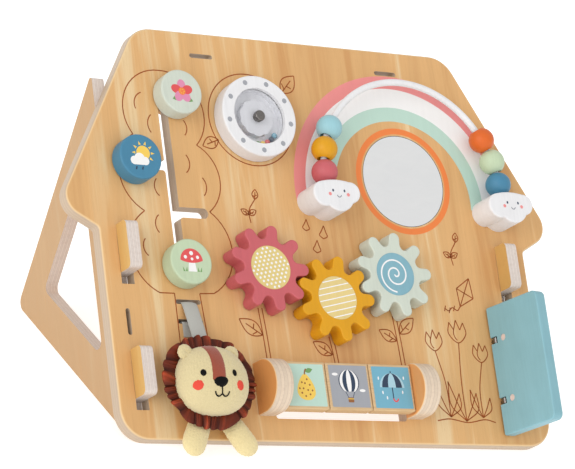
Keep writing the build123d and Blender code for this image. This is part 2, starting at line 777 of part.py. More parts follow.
with BuildPart() as door_panel:
    with BuildSketch(door_face.offset(-door_axis_inset)) as leaf:
        with Locations((door_width / 2 - door_axis_inset, 0)):
            Rectangle(door_width, door_height)
        fillet(leaf.vertices().group_by(Axis.X)[-1], door_corner_round)
    extrude(amount=door_thickness)
    for place, corner_round in ((-1, door_heel_round), (0, door_heel_ease)):
        heel = door_panel.edges().filter_by(door_pin_axis).sort_by(door_across_axis)[:2]
        fillet(heel.sort_by(door_outward_axis)[place], corner_round)
    fillet(door_panel.faces().sort_by(door_across_axis)[-1].edges().filter_by(door_pin_axis), door_edge_round)
    with BuildSketch(door_face.offset(-door_axis_inset)):
        with Locations(*[(door_notch_depth / 2 - door_axis_inset, y) for y in door_eye_offsets]):
            Rectangle(door_notch_depth, door_notch_height)
    extrude(amount=door_thickness, mode=Mode.SUBTRACT)
    for y in door_eye_offsets:
        with BuildSketch(door_end.offset(y - door_pin_length / 2)):
            Circle(door_pin_radius + screw_gap)
        extrude(amount=door_pin_length, mode=Mode.SUBTRACT)
    with BuildSketch(door_face.offset(-door_axis_inset)):
        with Locations(*[(door_rivet_inset - door_axis_inset, y) for y in door_eye_offsets]):
            Circle(door_rivet_radius + screw_gap)
    extrude(amount=door_thickness, mode=Mode.SUBTRACT)
finish(door_panel, "door_panel")

with BuildPart() as door_pins:
    for y in door_eye_offsets:
        with BuildSketch(door_end.offset(y - door_pin_length / 2)):
            Circle(door_pin_radius)
        extrude(amount=door_pin_length)
finish(door_pins, "door_pins")

with BuildPart() as door_rivets:
    with BuildSketch(door_face.offset(door_rivet_sink - door_axis_inset)):
        with Locations(*[(door_rivet_inset - door_axis_inset, y) for y in door_eye_offsets]):
            Circle(door_rivet_radius)
    extrude(amount=door_thickness - 2 * door_rivet_sink)
finish(door_rivets, "door_rivets")

with BuildPart() as door_eyes:
    for y in door_eye_offsets:
        with BuildSketch(door_end.offset(y - door_eye_length / 2)):
            Circle(door_eye_radius)
        extrude(amount=door_eye_length)
    with BuildSketch(front.offset(-door_post_depth)):
        with Locations(*[(door_axis_x, y) for y in door_eye_ys]):
            Circle(door_post_radius)
    extrude(amount=door_post_depth + door_axis_height)
    for y in door_eye_offsets:
        with BuildSketch(door_end.offset(y - door_eye_length / 2)):
            Circle(door_pin_radius + run_gap)
        extrude(amount=door_eye_length, mode=Mode.SUBTRACT)
finish(door_eyes, "door_eyes")


# Slider knobs: a round head and stem in front, a retainer and its screw behind
def make_knob(place, colour):
    """One slider knob with what holds it in the track."""
    stem_radius = track_width / 2 - stem_gap
    stem_end = -panel_thickness - knob_gap
    with BuildPart() as knob:
        with BuildSketch(face_plane(*place, knob_gap)):
            Circle(knob_radius)
        extrude(amount=knob_top - knob_gap)
        fillet(knob.edges().filter_by(GeomType.CIRCLE), knob_edge_round)
        with BuildSketch(face_plane(*place, stem_end)):
            Circle(stem_radius)
        extrude(amount=knob_gap - stem_end)
        with BuildSketch(face_plane(*place, stem_end)):
            Circle(knob_screw_radius + screw_gap)
        extrude(amount=knob_screw_depth, mode=Mode.SUBTRACT)
    finish(knob, f"knob_{colour}")
    with BuildPart() as retainer:
        with BuildSketch(face_plane(*place, stem_end - retainer_thickness)):
            Circle(retainer_radius)
            Circle(knob_screw_radius + screw_gap, mode=Mode.SUBTRACT)
        extrude(amount=retainer_thickness)
        with BuildSketch(face_plane(*place, stem_end - retainer_thickness)):
            Circle(knob_screw_head_radius + screw_gap)
        extrude(amount=knob_screw_head_height, mode=Mode.SUBTRACT)
    finish(retainer, f"knob_retainer_{colour}")
    with BuildPart() as screw:
        with BuildSketch(face_plane(*place, stem_end - retainer_thickness)):
            Circle(knob_screw_radius)
        extrude(amount=retainer_thickness + knob_screw_depth - cut_overrun)
        with BuildSketch(face_plane(*place, stem_end - retainer_thickness)):
            Circle(knob_screw_head_radius)
        extrude(amount=knob_screw_head_height)
    finish(screw, f"knob_screw_{colour}")


make_knob(mint_knob_place, "mint")
make_knob(blue_knob_place, "blue")
make_knob((track_x, green_knob_y), "green")


# Plush lion: stuffed head, ruffled mane, ears and legs, hung from a woven strap
def head_sections(grow):
    """Oval cross-sections of the stuffed head from its back to its muzzle, each grown outwards."""
    sections = []
    for depth_share, size_share in lion_section_shares:
        height = lion_back + depth_share * lion_depth
        with BuildSketch(face_plane(*lion_centre, height)) as section:
            with BuildLine():
                soft_outline(size_share * lion_half_width + grow, size_share * lion_half_height + grow)
            make_face()
        sections.append(section.sketch.face())
    return sections


with BuildPart() as lion_head:
    loft(head_sections(0))
finish(lion_head, "lion_head")

with BuildPart() as lion_mane:
    with BuildSketch(face_plane(*lion_centre, mane_back)):
        with BuildLine():
            ruffle_turn = 2 * math.pi / mane_ruffles
            for ruffle in range(mane_ruffles):
                edge = []
                for size_share, turn_share in ((ruffle_depth_share, 0), (1, 1 / 2), (ruffle_depth_share, 1)):
                    turn = (ruffle + turn_share) * ruffle_turn
                    edge.append((size_share * mane_half_width * math.cos(turn),
                                 size_share * mane_half_height * math.sin(turn)))
                ThreePointArc(*edge)
        make_face()
        with BuildSketch(mode=Mode.SUBTRACT):
            with BuildLine():
                soft_outline(lion_half_width + soft_gap, lion_half_height + soft_gap)
            make_face()
    extrude(amount=mane_thickness)
finish(lion_mane, "lion_mane")

for side, ear_x in ear_places:
    with BuildPart() as lion_ear:
        for depth_share, size_share in ear_section_shares:
            with BuildSketch(face_plane(lion_centre[0] + ear_x, lion_centre[1] + ear_rise,
                                        ear_back + depth_share * ear_thickness)):
                with BuildLine():
                    soft_outline(size_share * ear_radius, size_share * ear_radius)
                make_face()
        loft()
        loft(head_sections(soft_gap), mode=Mode.SUBTRACT)
    finish(lion_ear, f"lion_ear_{side}")

for side, top_x, foot_x in limb_xs:
    limb_start = board_point(lion_centre[0] + top_x, *limb_top)
    limb_end = board_point(lion_centre[0] + foot_x, *limb_foot)
    limb_run = limb_end - limb_start
    limb_across = out_panel.cross(limb_run).normalized()
    with BuildPart() as lion_leg:
        for along_share, size_share in limb_section_shares:
            limb_middle = limb_start + limb_run * along_share
            with BuildSketch(Plane(origin=limb_middle, x_dir=limb_across, z_dir=limb_run)):
                with BuildLine():
                    soft_outline(size_share * limb_half_width, size_share * limb_half_depth)
                make_face()
        loft()
        loft(head_sections(soft_gap), mode=Mode.SUBTRACT)
    finish(lion_leg, f"lion_leg_{side}")

# Strap: the run that carries the lion, and the loop that passes round the panel between its two slots
strap_start_x = lion_centre[0] - strap_width / 2
with BuildPart() as lion_strap:
    strap_top_y = strap_upper_y - strap_thickness / 2 - strap_bend_gap
    strap_rise = (strap_top_y - strap_sewn_y) * math.tan(math.radians(strap_slope))
    with BuildSketch(side_plane(strap_start_x)):
        with BuildLine():
            Polyline((strap_top_y, strap_lift), (strap_top_y, strap_lift + strap_thickness),
                     (strap_sewn_y, strap_lift + strap_thickness + strap_rise),
                     (strap_sewn_y, strap_lift + strap_rise), close=True)
        make_face()
    extrude(amount=strap_width)
    loft(head_sections(soft_gap), mode=Mode.SUBTRACT)
finish(lion_strap, "lion_strap")

loop_back = -panel_thickness - strap_tail_lift - strap_thickness
loop_front = strap_tail_lift + strap_thickness
with BuildPart() as lion_strap_loop:
    with BuildSketch(side_plane(strap_start_x)):
        for strap_y in (strap_upper_y, strap_lower_y):
            with Locations((strap_y, (loop_front + loop_back) / 2)):
                Rectangle(strap_thickness, loop_front - loop_back)
        with Locations(((strap_upper_y + strap_lower_y) / 2, loop_back + strap_thickness / 2)):
            Rectangle(strap_upper_y - strap_lower_y + strap_thickness, strap_thickness)
        with Locations(((strap_lower_y + strap_tail_end_y) / 2, loop_front - strap_thickness / 2)):
            Rectangle(strap_lower_y - strap_tail_end_y + strap_thickness, strap_thickness)
    extrude(amount=strap_width)
finish(lion_strap_loop, "lion_strap_loop")
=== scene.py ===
"""Finishes, painted pictures, burnt lines, plush lion and studio of a wooden busy house.

Board axes, in millimetres: x to the right, y up the panel from its lower edge, n out of its front face.
"""
import json
import math
from functools import cached_property

import bmesh
import bpy
import numpy as np
from bpy.props import FloatProperty, FloatVectorProperty, IntProperty, PointerProperty
from mathutils import Matrix, Vector


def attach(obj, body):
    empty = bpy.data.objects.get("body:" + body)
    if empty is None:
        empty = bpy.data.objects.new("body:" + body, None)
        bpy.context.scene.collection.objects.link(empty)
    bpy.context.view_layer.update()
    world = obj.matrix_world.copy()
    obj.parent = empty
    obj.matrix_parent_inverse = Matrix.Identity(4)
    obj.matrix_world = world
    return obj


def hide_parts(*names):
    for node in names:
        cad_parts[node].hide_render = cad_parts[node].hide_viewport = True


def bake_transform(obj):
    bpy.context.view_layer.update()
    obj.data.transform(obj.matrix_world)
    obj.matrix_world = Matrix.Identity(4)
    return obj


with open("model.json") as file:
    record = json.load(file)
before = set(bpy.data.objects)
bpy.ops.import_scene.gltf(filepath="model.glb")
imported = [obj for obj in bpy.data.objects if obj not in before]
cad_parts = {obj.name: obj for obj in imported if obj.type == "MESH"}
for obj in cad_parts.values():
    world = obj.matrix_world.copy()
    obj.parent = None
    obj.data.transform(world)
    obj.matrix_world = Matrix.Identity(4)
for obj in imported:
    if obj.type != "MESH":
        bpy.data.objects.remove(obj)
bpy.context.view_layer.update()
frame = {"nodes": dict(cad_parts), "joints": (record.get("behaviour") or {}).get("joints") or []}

bl_info = {
    "name": "Busy house",
    "version": (1, 0, 0),
    "blender": (4, 5, 0),
    "location": "View3D > Sidebar > Busy house",
    "description": "Dresses a wooden busy house with its finishes, pictures, plush lion and studio",
    "category": "Object",
}

# Board frame, read from the joints: the arch centre and the two directions of the leaning panel
MM = 0.001
JOINTS = {joint["name"]: joint for joint in frame["joints"]}
SIDEWAYS = np.array([1.0, 0.0, 0.0])
UP = np.array(JOINTS["knob_green_slide"]["axis"])
OUT = np.array(JOINTS["rattle_spin"]["axis"])
AXES = np.stack([SIDEWAYS, UP, OUT])
ARCH = np.array([86.2, 205.5, 13.0])
ORIGIN = np.array(JOINTS["bead_red_run"]["pos_m"]) - MM * ARCH @ AXES
LEAN = math.atan2(UP[2], UP[1])
BOARD_FOOT = (0.0, 0.0, 0.0)

# Distance at which points are one, in metres, and height of a printed film, in millimetres
WELD = 1e-7
FILM = 0.03

# Share of the shown brightness that a surface gives back, white, and the usual range of a noise
STUDIO_SHARE = 0.9
WHITE = (1.0, 1.0, 1.0, 1.0)
USUAL = (0.3, 0.7)

# Finishes: steel tones, pitch of ribs in metres and of stitches in millimetres, depth of the pile in metres
PLATED_TONE = (0.62, 0.61, 0.6)
DARK_TONE = (0.2, 0.185, 0.175)
RIB = 0.9 * MM
STITCH = 0.55
FUR_PILE = 0.5 * MM
BLAZE_PILE = 0.4 * MM

# Loose shot: number of balls, angle from one to the next, and share of the colours from one to the next
SHOT_COUNT = 9
SHOT_STEP = 0.2278
SHOT_PICK = 0.41

# Pictures, in millimetres: rings given by their inner and outer radius
KNOBS = ("mint", "blue", "green")
RAINBOW = (("pink", 89.5, 99.8), ("white", 74.0, 89.5), ("mint", 62.5, 74.0))
RAINBOW_CENTRE = (85.0, 196.5)
RAINBOW_SWEEP = (-6.0, 186.0)
MIRROR_RING = (38.5, 43.3)
MIRROR_LINE = (36.75, 37.15)
CLOUD_SHIFT = (1.4, 1.3, 0.0)
TILE_MARGIN = 2.0
TILE_CORNER = 0.8


def board(points):
    """World places, in metres, of points given in board millimetres."""
    return ORIGIN + MM * np.asarray(points, float) @ AXES


def reach_of(node):
    """Lowest and highest board coordinates of a node, in millimetres."""
    mesh = frame["nodes"][node].data
    points = np.empty(3 * len(mesh.vertices), np.float32)
    mesh.vertices.foreach_get("co", points)
    points = (points.reshape(-1, 3) - ORIGIN) @ AXES.T / MM
    return points.min(0), points.max(0)


def face_of(node):
    """Board place of the middle of a node's front face."""
    low, high = reach_of(node)
    return np.array([*(low + high)[:2] / 2, high[2]])


# Settings


def colour(name, about, red, green, blue):
    """Colour property, its default given as 8-bit display values under the studio light."""
    shown = np.array([red, green, blue]) / 255
    linear = np.where(shown <= 0.04045, shown / 12.92, ((shown + 0.055) / 1.055) ** 2.4)
    return FloatVectorProperty(name=name, description=about, subtype="COLOR", size=3, min=0.0, max=1.0,
                               default=tuple(STUDIO_SHARE * linear))


def length(name, about, default):
    """Length property in metres."""
    return FloatProperty(name=name, description=about, default=default, min=0.0, unit="LENGTH", precision=5)


class BusyHousePaints(bpy.types.PropertyGroup):
    """Colours of the painted pieces"""
    white: colour("White", "Clouds, rattle rim and wire", 235, 234, 235)
    pearl: colour("Pearl", "Scalloped hub of the rattle", 217, 217, 222)
    # Painted light: the cup's paint is set lighter than the rim's white to offset the shade inside the rattle
    ash: colour("Ash", "Cup of the rattle", 236, 236, 240)
    red: colour("Red", "Red gear and bead", 202, 99, 105)
    yellow: colour("Yellow", "Yellow gear and bead", 224, 160, 20)
    light_blue: colour("Light blue", "Light blue bead", 156, 203, 212)
    blue: colour("Blue", "Blue knob and bead", 72, 133, 164)
    green: colour("Green", "Green knob and bead", 195, 212, 178)
    orange: colour("Orange", "Orange bead", 222, 104, 36)
    mint: colour("Mint", "Mint gear and knob", 208, 215, 201)
    teal: colour("Teal", "Door", 137, 184, 194)
    straw: colour("Straw", "Face of the red gear", 226, 203, 132)
    butter: colour("Butter", "Face of the yellow gear", 230, 206, 138)
    sky: colour("Sky", "Face of the mint gear", 132, 178, 192)
    shell: colour("Shell", "Fasteners in the door", 226, 206, 196)


class BusyHousePrints(bpy.types.PropertyGroup):
    """Colours of the printed pictures and painted bands"""
    white: colour("White", "White print", 246, 244, 242)
    pink: colour("Pink", "Outer rainbow band", 239, 146, 143)
    rose: colour("Rose", "Petals", 226, 142, 176)
    coral: colour("Coral", "Cheeks and caps", 226, 84, 86)
    mint: colour("Mint", "Inner rainbow band and a tile", 190, 219, 204)
    orange: colour("Orange", "Ring round the mirror", 240, 132, 64)
    sun: colour("Sun", "Yellow print", 246, 206, 92)
    grey: colour("Grey", "A tile and the marks on the rattle", 162, 164, 170)
    sky: colour("Sky", "A tile", 116, 176, 198)
    ice: colour("Ice", "Pale blue print", 170, 208, 222)
    navy: colour("Navy", "Dark blue print", 44, 62, 86)
    leaf: colour("Leaf", "Green print", 116, 160, 96)
    brown: colour("Brown", "Brown print", 150, 96, 52)


class BusyHouseWood(bpy.types.PropertyGroup):
    """Look of the bare plywood"""
    honey: colour("Honey", "Usual tone of the face veneer", 223, 175, 117)
    deep: colour("Deep", "Darkest streaks of the face veneer", 208, 152, 93)
    pale: colour("Pale", "Palest streaks of the face veneer", 234, 203, 155)
    warm: colour("Warm", "Face veneer of the brackets", 228, 153, 84)
    hook: colour("Hook", "Face veneer of the hooks", 214, 172, 99)
    # On the legs this tone is partly their own duller veneer and partly painted shade, set darker to offset
    # the key light on their outer faces; the tiles take it as their grain's darker tone
    dull: colour("Dull", "Face veneer of the legs", 186, 151, 111)
    edge: colour("Edge", "Cut edge of the plies", 226, 214, 205)
    # Painted shade: a darker copy of the ply edge tone, for the board's cut edges and slots
    board_edge: colour("Board edge", "Plies on the edges of the board", 198, 176, 150)
    rim: colour("Rim", "Plies on the rims of the brackets", 226, 206, 182)
    glue: colour("Glue", "Lines between the plies", 186, 160, 144)
    burn: colour("Burn", "Burnt lines", 160, 84, 42)
    ply: length("Ply", "Thickness of one ply", 0.00143)
    thick_ply: length("Thick ply", "Thickness of one ply of the brackets", 0.003)
    line: length("Line", "Width of a burnt line", 0.0009)


class BusyHouseLion(bpy.types.PropertyGroup):
    """Look of the plush lion and its strap"""
    # One plush in two tones: the head's darkened as painted shade against the key light on it, the legs' kept
    # lighter as painted light
    fur: colour("Fur", "Short plush of the head", 223, 206, 159)
    limb: colour("Limb", "Short plush of the legs", 238, 219, 165)
    blaze: colour("Blaze", "Strip down the forehead", 158, 78, 58)
    mane: colour("Mane", "Gathered satin", 124, 47, 22)
    cheek: colour("Cheek", "Sewn cheeks", 234, 84, 68)
    thread: colour("Thread", "Eyes, nose and mouth", 14, 13, 13)
    ribbon: colour("Ribbon", "Woven strap", 190, 189, 182)
    pile: length("Pile", "Rise of the tufts of plush", 0.00013)
    ruffles: IntProperty(name="Ruffles", description="Folds round the mane", default=24, min=8, max=40)
    ruffle: length("Ruffle", "Rise and fall of the outer edge", 0.0011)


class BusyHouseStudio(bpy.types.PropertyGroup):
    """Camera, floor and light"""
    lens: FloatProperty(name="Lens", description="Focal length", default=192.7, min=20.0, unit="CAMERA")
    sky: FloatProperty(name="Sky", description="Even light from all round", default=0.82, min=0.0)
    key: FloatProperty(name="Key", description="Soft light from the left", default=0.95, min=0.0)
    fill: FloatProperty(name="Fill", description="Softer light from low in front", default=0.5, min=0.0)
    key_angle: FloatProperty(name="Key angle", description="Softness of the key light", subtype="ANGLE",
                             default=math.radians(36))
    fill_angle: FloatProperty(name="Fill angle", description="Softness of the fill light", subtype="ANGLE",
                              default=math.radians(70))
    floor: colour("Floor", "Pale floor", 226, 226, 226)
    glow: FloatProperty(name="Glow", description="Light of the table under the floor", default=0.62, min=0.0)


class BusyHouse(bpy.types.PropertyGroup):
    """All settings of the busy house"""
    paints: PointerProperty(type=BusyHousePaints)
    prints: PointerProperty(type=BusyHousePrints)
    wood: PointerProperty(type=BusyHouseWood)
    lion: PointerProperty(type=BusyHouseLion)
    studio: PointerProperty(type=BusyHouseStudio)


# Procedural finishes


class Finish:
    """A material in the making: each call adds a node, and outputs are passed on as inputs."""

    def __init__(self, name, **constants):
        self.material = bpy.data.materials.new(name)
        self.material.use_nodes = True
        self.tree = self.material.node_tree
        self.shader = self.tree.nodes["Principled BSDF"]
        self.fill(self.shader, {key.replace("_", " "): value for key, value in constants.items()})

    def fill(self, node, values):
        """Join outputs to a node's inputs, or set its constants."""
        for key, value in values.items():
            if isinstance(value, bpy.types.NodeSocket):
                self.tree.links.new(value, node.inputs[key])
            else:
                node.inputs[key].default_value = value

    def add(self, kind, values, output=0, **settings):
        """A new node with its settings and inputs; gives one of its outputs."""
        node = self.tree.nodes.new(f"ShaderNode{kind}")
        for key, value in settings.items():
            setattr(node, key, value)
        self.fill(node, values)
        return node.outputs[output]

    @cached_property
    def place(self):
        """Board coordinates in metres: object coordinates turned by the lean and moved to its foot."""
        values = {"Rotation": (-LEAN, 0.0, 0.0), "Location": -AXES @ ORIGIN}
        return self.add("Mapping", {"Vector": self.add("TexCoord", {}, "Object"), **values})

    def part(self, axis):
        """One coordinate of the place."""
        return self.add("SeparateXYZ", {0: self.place}, axis)

    def stored(self, name):
        """A value kept on the points of the mesh."""
        return self.add("Attribute", {}, "Fac", attribute_name=name)

    def noise(self, cycles, detail=2.0, roughness=0.5, distortion=0.0):
        """Smooth noise from 0 to 1, with so many cycles for each metre: one count, or one along each axis."""
        factors = np.broadcast_to(cycles, 3)
        stretched = self.add("VectorMath", {0: self.place, 1: factors}, operation="MULTIPLY")
        return self.add("TexNoise", {"Vector": stretched, "Scale": 1.0, "Detail": detail,
                                     "Roughness": roughness, "Distortion": distortion})

    def math(self, operation, first, second=0.0):
        """One sum, product or other operation on two values."""
        return self.add("Math", {0: first, 1: second}, operation=operation)

    def weigh(self, first, share, second):
        """Two values added, the first weighted by a share and the second by the rest of it."""
        rest = self.math("MULTIPLY", second, 1.0 - share)
        return self.math("ADD", self.math("MULTIPLY", first, share), rest)

    def span(self, value, low, high, start=0.0, end=1.0):
        """A value carried from one range to another, clamped at its ends."""
        return self.add("MapRange", {0: value, 1: low, 2: high, 3: start, 4: end})

    def mix(self, share, first, second):
        """Two colours mixed by a share."""
        return self.add("Mix", {0: share, 6: first, 7: second}, 2, data_type="RGBA")

    def over(self, below, above, value, low, high, most):
        """One colour over another, by a share that grows to its most as a value crosses a range."""
        return self.mix(self.span(value, low, high, 0.0, most), below, above)

    def tones(self, value, low, high, tone, first, last):
        """One colour that goes from a first factor to a last one as a value crosses a range."""
        return self.mix(self.span(value, low, high), shade(tone, first), shade(tone, last))

    def ramp(self, share, *stops):
        """Colour picked along a row of stops, each a place and a colour."""
        node = self.tree.nodes.new("ShaderNodeValToRGB")
        self.fill(node, {0: share})
        elements = node.color_ramp.elements
        while len(elements) < len(stops):
            elements.new(1.0)
        for element, (place, tone) in zip(elements, stops):
            element.position = place
            element.color = tone
        return node.outputs[0]

    def surface(self, tone, roughness, height, depth, strength=0.5):
        """Colour, roughness and bump of the shader; depth is the bump's height in metres."""
        normal = self.add("Bump", {"Height": height, "Distance": depth, "Strength": strength})
        self.fill(self.shader, {"Base Color": tone, "Roughness": roughness, "Normal": normal})
        return self.material


def shade(tone, factor=1.0):
    """A settings colour as red, green, blue and alpha, made lighter or darker."""
    return (*(min(1.0, factor * share) for share in tone), 1.0)


def ready(maker):
    """Keep each finish under its first argument's name, so that it is made once."""
    def keep(name, *values):
        return bpy.data.materials.get(name) or maker(name, *values)
    return keep


@ready
def plywood(name, wood, across, layer_axis, ply, tinted, front, edge):
    """Plywood: streaked face veneer up the board, pale on rounded edges, and plies on the cut edges.

    The tint is dull behind the board's face and of its own tone in front of it; on the legs the dull tint is
    partly their own duller veneer and partly painted shade.
    """
    finish = Finish(name, Specular_IOR_Level=0.35)
    flame = finish.noise((60.0, 3.4, 60.0), 4.0, 0.6, 1.0)
    band = finish.noise((16.0, 1.3, 16.0))
    fibre = finish.noise((900.0, 26.0, 900.0), 3.0, 0.6)
    pore = finish.noise((2600.0, 190.0, 2600.0), 1.0)
    figure = finish.weigh(flame, 0.55, band)
    veneer = finish.ramp(figure, (0.37, shade(wood.deep)), (0.46, shade(wood.honey, 0.97)),
                         (0.55, shade(wood.honey, 1.03)), (0.64, shade(wood.pale)))
    in_front = finish.span(finish.part("Z"), 0.0, 0.5 * MM)
    veneer = finish.mix(tinted, veneer, finish.mix(in_front, shade(wood.dull), shade(front)))
    veneer = finish.over(veneer, shade(wood.deep, 0.9), fibre, 0.5, 0.8, 0.35)
    veneer = finish.over(veneer, shade(wood.deep, 0.75), pore, 0.66, 0.8, 0.35)

    layer = finish.math("DIVIDE", finish.part(layer_axis), ply)
    seam = finish.math("PINGPONG", layer, 0.5)
    odd = finish.math("PINGPONG", finish.math("ADD", layer, 0.5), 1.0)
    end_grain = finish.noise(420.0, 3.0, 0.6)
    plies = finish.tones(odd, 0.4, 0.6, edge, 1.02, 0.95)
    plies = finish.over(plies, shade(wood.glue), end_grain, 0.45, 0.8, 0.3)
    plies = finish.mix(finish.span(seam, 0.04, 0.12, 0.45, 0.0), plies, shade(wood.glue))

    normal = finish.add("TexCoord", {}, "Normal")
    facing = finish.add("VectorMath", {0: normal, 1: across}, "Value", operation="DOT_PRODUCT")
    facing = finish.math("ABSOLUTE", facing)
    uneven = finish.math("ADD", facing, finish.span(flame, *USUAL, -0.03, 0.03))
    tone = finish.mix(finish.span(uneven, 0.86, 0.99, 0.8, 0.0), veneer, shade(wood.pale))
    tone = finish.mix(finish.span(facing, 0.45, 0.75), plies, tone)
    relief = finish.weigh(fibre, 0.7, end_grain)
    return finish.surface(tone, finish.span(figure, *USUAL, 0.5, 0.4), relief, 0.08 * MM, 0.35)


@ready
def dowel(name, dark, light):
    """Turned or planed beech: fine grain across the board."""
    finish = Finish(name, Specular_IOR_Level=0.35)
    fibre = finish.noise((60.0, 900.0, 900.0), 3.0)
    tone = finish.mix(fibre, shade(dark), shade(light))
    return finish.surface(tone, finish.span(fibre, *USUAL, 0.55, 0.45), fibre, 0.08 * MM)


@ready
def lacquer(name, tone):
    """Satin paint on wood: cloudy film, faint brush streaks up the board and an uneven gloss."""
    finish = Finish(name, Specular_IOR_Level=0.32)
    cloud = finish.noise(45.0, 3.0)
    streak = finish.noise((650.0, 40.0, 650.0))
    speck = finish.noise(2200.0, 1.0)
    film = finish.weigh(cloud, 0.55, streak)
    coat = finish.tones(film, *USUAL, tone, 0.93, 1.05)
    coat = finish.over(coat, shade(tone, 0.85), speck, 0.62, 0.8, 0.25)
    return finish.surface(coat, finish.span(film, *USUAL, 0.36, 0.5), film, 0.08 * MM, 0.45)


@ready
def print_ink(name, tone):
    """Printed film: even tone with a faint screen and the wood's streaks showing through."""
    finish = Finish(name, Specular_IOR_Level=0.4)
    streak = finish.noise((300.0, 22.0, 300.0), 3.0)
    screen = finish.noise(3200.0, 1.0)
    film = finish.weigh(streak, 0.6, screen)
    ink = finish.tones(film, *USUAL, tone, 0.97, 1.02)
    return finish.surface(ink, finish.span(film, *USUAL, 0.42, 0.55), film, 0.05 * MM, 0.4)


@ready
def burnt_line(name, tone):
    """Laser-burnt wood: brown that darkens in patches along the line."""
    finish = Finish(name, Specular_IOR_Level=0.2)
    char = finish.noise(260.0, 3.0)
    grain = finish.noise((1400.0, 60.0, 1400.0))
    tint = finish.tones(char, *USUAL, tone, 0.7, 1.2)
    return finish.surface(tint, finish.span(grain, *USUAL, 0.7, 0.85), grain, 0.1 * MM)


@ready
def steel(name, tone):
    """Plated steel: fine turning marks and a patchy polish."""
    finish = Finish(name, Metallic=1.0)
    patch = finish.noise(220.0, 3.0)
    turning = finish.noise((900.0, 900.0, 2600.0))
    polish = finish.mix(patch, shade(tone, 0.85), shade(tone, 1.1))
    return finish.surface(polish, finish.span(patch, *USUAL, 0.22, 0.36), turning, 0.04 * MM, 0.3)


@ready
def mirror_sheet(name):
    """Acrylic mirror: bright metal under a faint haze of wiping marks."""
    finish = Finish(name, Metallic=1.0)
    haze = finish.noise((40.0, 90.0, 40.0), 4.0, 0.6, 0.5)
    silver = finish.mix(haze, shade((0.86, 0.865, 0.87)), shade((0.93, 0.93, 0.925)))
    return finish.surface(silver, finish.span(haze, 0.3, 0.8, 0.0, 0.03), haze, 0.01 * MM, 0.01)


@ready
def clear_pane(name):
    """Clear acrylic: almost unseen, with a faint grey body and light scuffs."""
    finish = Finish(name, Alpha=0.05, Specular_IOR_Level=0.5)
    scuff = finish.noise((160.0, 700.0, 160.0), 3.0)
    body = finish.mix(scuff, shade((0.86, 0.88, 0.9)), shade((0.95, 0.96, 0.97)))
    return finish.surface(body, finish.span(scuff, 0.4, 0.8, 0.05, 0.14), scuff, 0.01 * MM, 0.01)


@ready
def shot_balls(name, prints, middle):
    """Glossy shot: each ball's colour is picked by its number, counted by the angle round the rattle."""
    finish = Finish(name, Specular_IOR_Level=0.5)
    right = finish.math("SUBTRACT", finish.part("X"), MM * middle[0])
    down = finish.math("SUBTRACT", MM * middle[1], finish.part("Y"))
    steps = finish.math("DIVIDE", finish.math("ARCTAN2", right, down), SHOT_STEP)
    number = finish.math("FLOOR", finish.math("ADD", steps, SHOT_COUNT / 2))
    pick = finish.math("FRACT", finish.math("MULTIPLY", number, SHOT_PICK))
    tones = (prints.sun, prints.sky, prints.coral, prints.leaf, prints.navy)
    ball = finish.ramp(pick, *((k / len(tones), shade(tone)) for k, tone in enumerate(tones)))
    ball.node.color_ramp.interpolation = "CONSTANT"
    mottle = finish.noise(900.0)
    ball = finish.over(ball, shade(prints.white), mottle, 0.5, 0.8, 0.2)
    return finish.surface(ball, finish.span(mottle, *USUAL, 0.2, 0.3), mottle, 0.03 * MM)


@ready
def plush(name, tone, pile):
    """Short plush: tufts about a millimetre wide, shaded between their tips, with a soft sheen."""
    finish = Finish(name, Sheen_Weight=0.35, Sheen_Roughness=0.5, Specular_IOR_Level=0.15)
    tuft = finish.noise((1300.0, 900.0, 1300.0), 3.0, 0.7)
    hair = finish.noise((3000.0, 1600.0, 3000.0), 2.0, 0.6)
    nap = finish.noise((90.0, 60.0, 90.0))
    height = finish.weigh(tuft, 0.65, hair)
    fur = finish.tones(height, 0.3, 0.65, tone, 0.87, 1.05)
    fur = finish.over(fur, shade(tone, 0.92), nap, 0.45, 0.75, 0.35)
    return finish.surface(fur, finish.span(height, 0.2, 0.8, 1.0, 0.85), height, pile, 0.8)


@ready
def satin(name, tone):
    """Gathered satin: painted shade in the folds and in the small pleats, painted highlights on their crests,
    a glossier finish there, and a fine weave across the strip.
    """
    finish = Finish(name, Anisotropic=0.4, Specular_IOR_Level=0.2)
    crest = finish.stored("fold")
    pleat = finish.stored("pleat")
    weave = finish.noise((2600.0, 2600.0, 700.0))
    wander = finish.noise(160.0, 3.0)
    # Ramp by the crest: painted shade, down to a tenth of the tone, in the creases, and painted highlights,
    # up to 2.6 times the tone, on the crests
    stops = ((0.0, 0.1), (0.3, 0.4), (0.6, 0.9), (0.8, 1.3), (1.0, 2.6))
    cloth = finish.ramp(crest, *((place, shade(tone, factor)) for place, factor in stops))
    cloth = finish.over(cloth, shade(tone, 0.6), wander, 0.35, 0.75, 0.4)
    # Painted shade in the small pleats
    cloth = finish.over(cloth, shade(tone, 0.35), pleat, -0.2, 1.0, 0.35)
    gloss = finish.math("ADD", crest, finish.math("MULTIPLY", weave, 0.5))
    height = finish.math("SUBTRACT", weave, finish.math("MULTIPLY", pleat, 1.5))
    return finish.surface(cloth, finish.span(gloss, 0.2, 1.2, 0.55, 0.33), height, 0.15 * MM, 0.6)


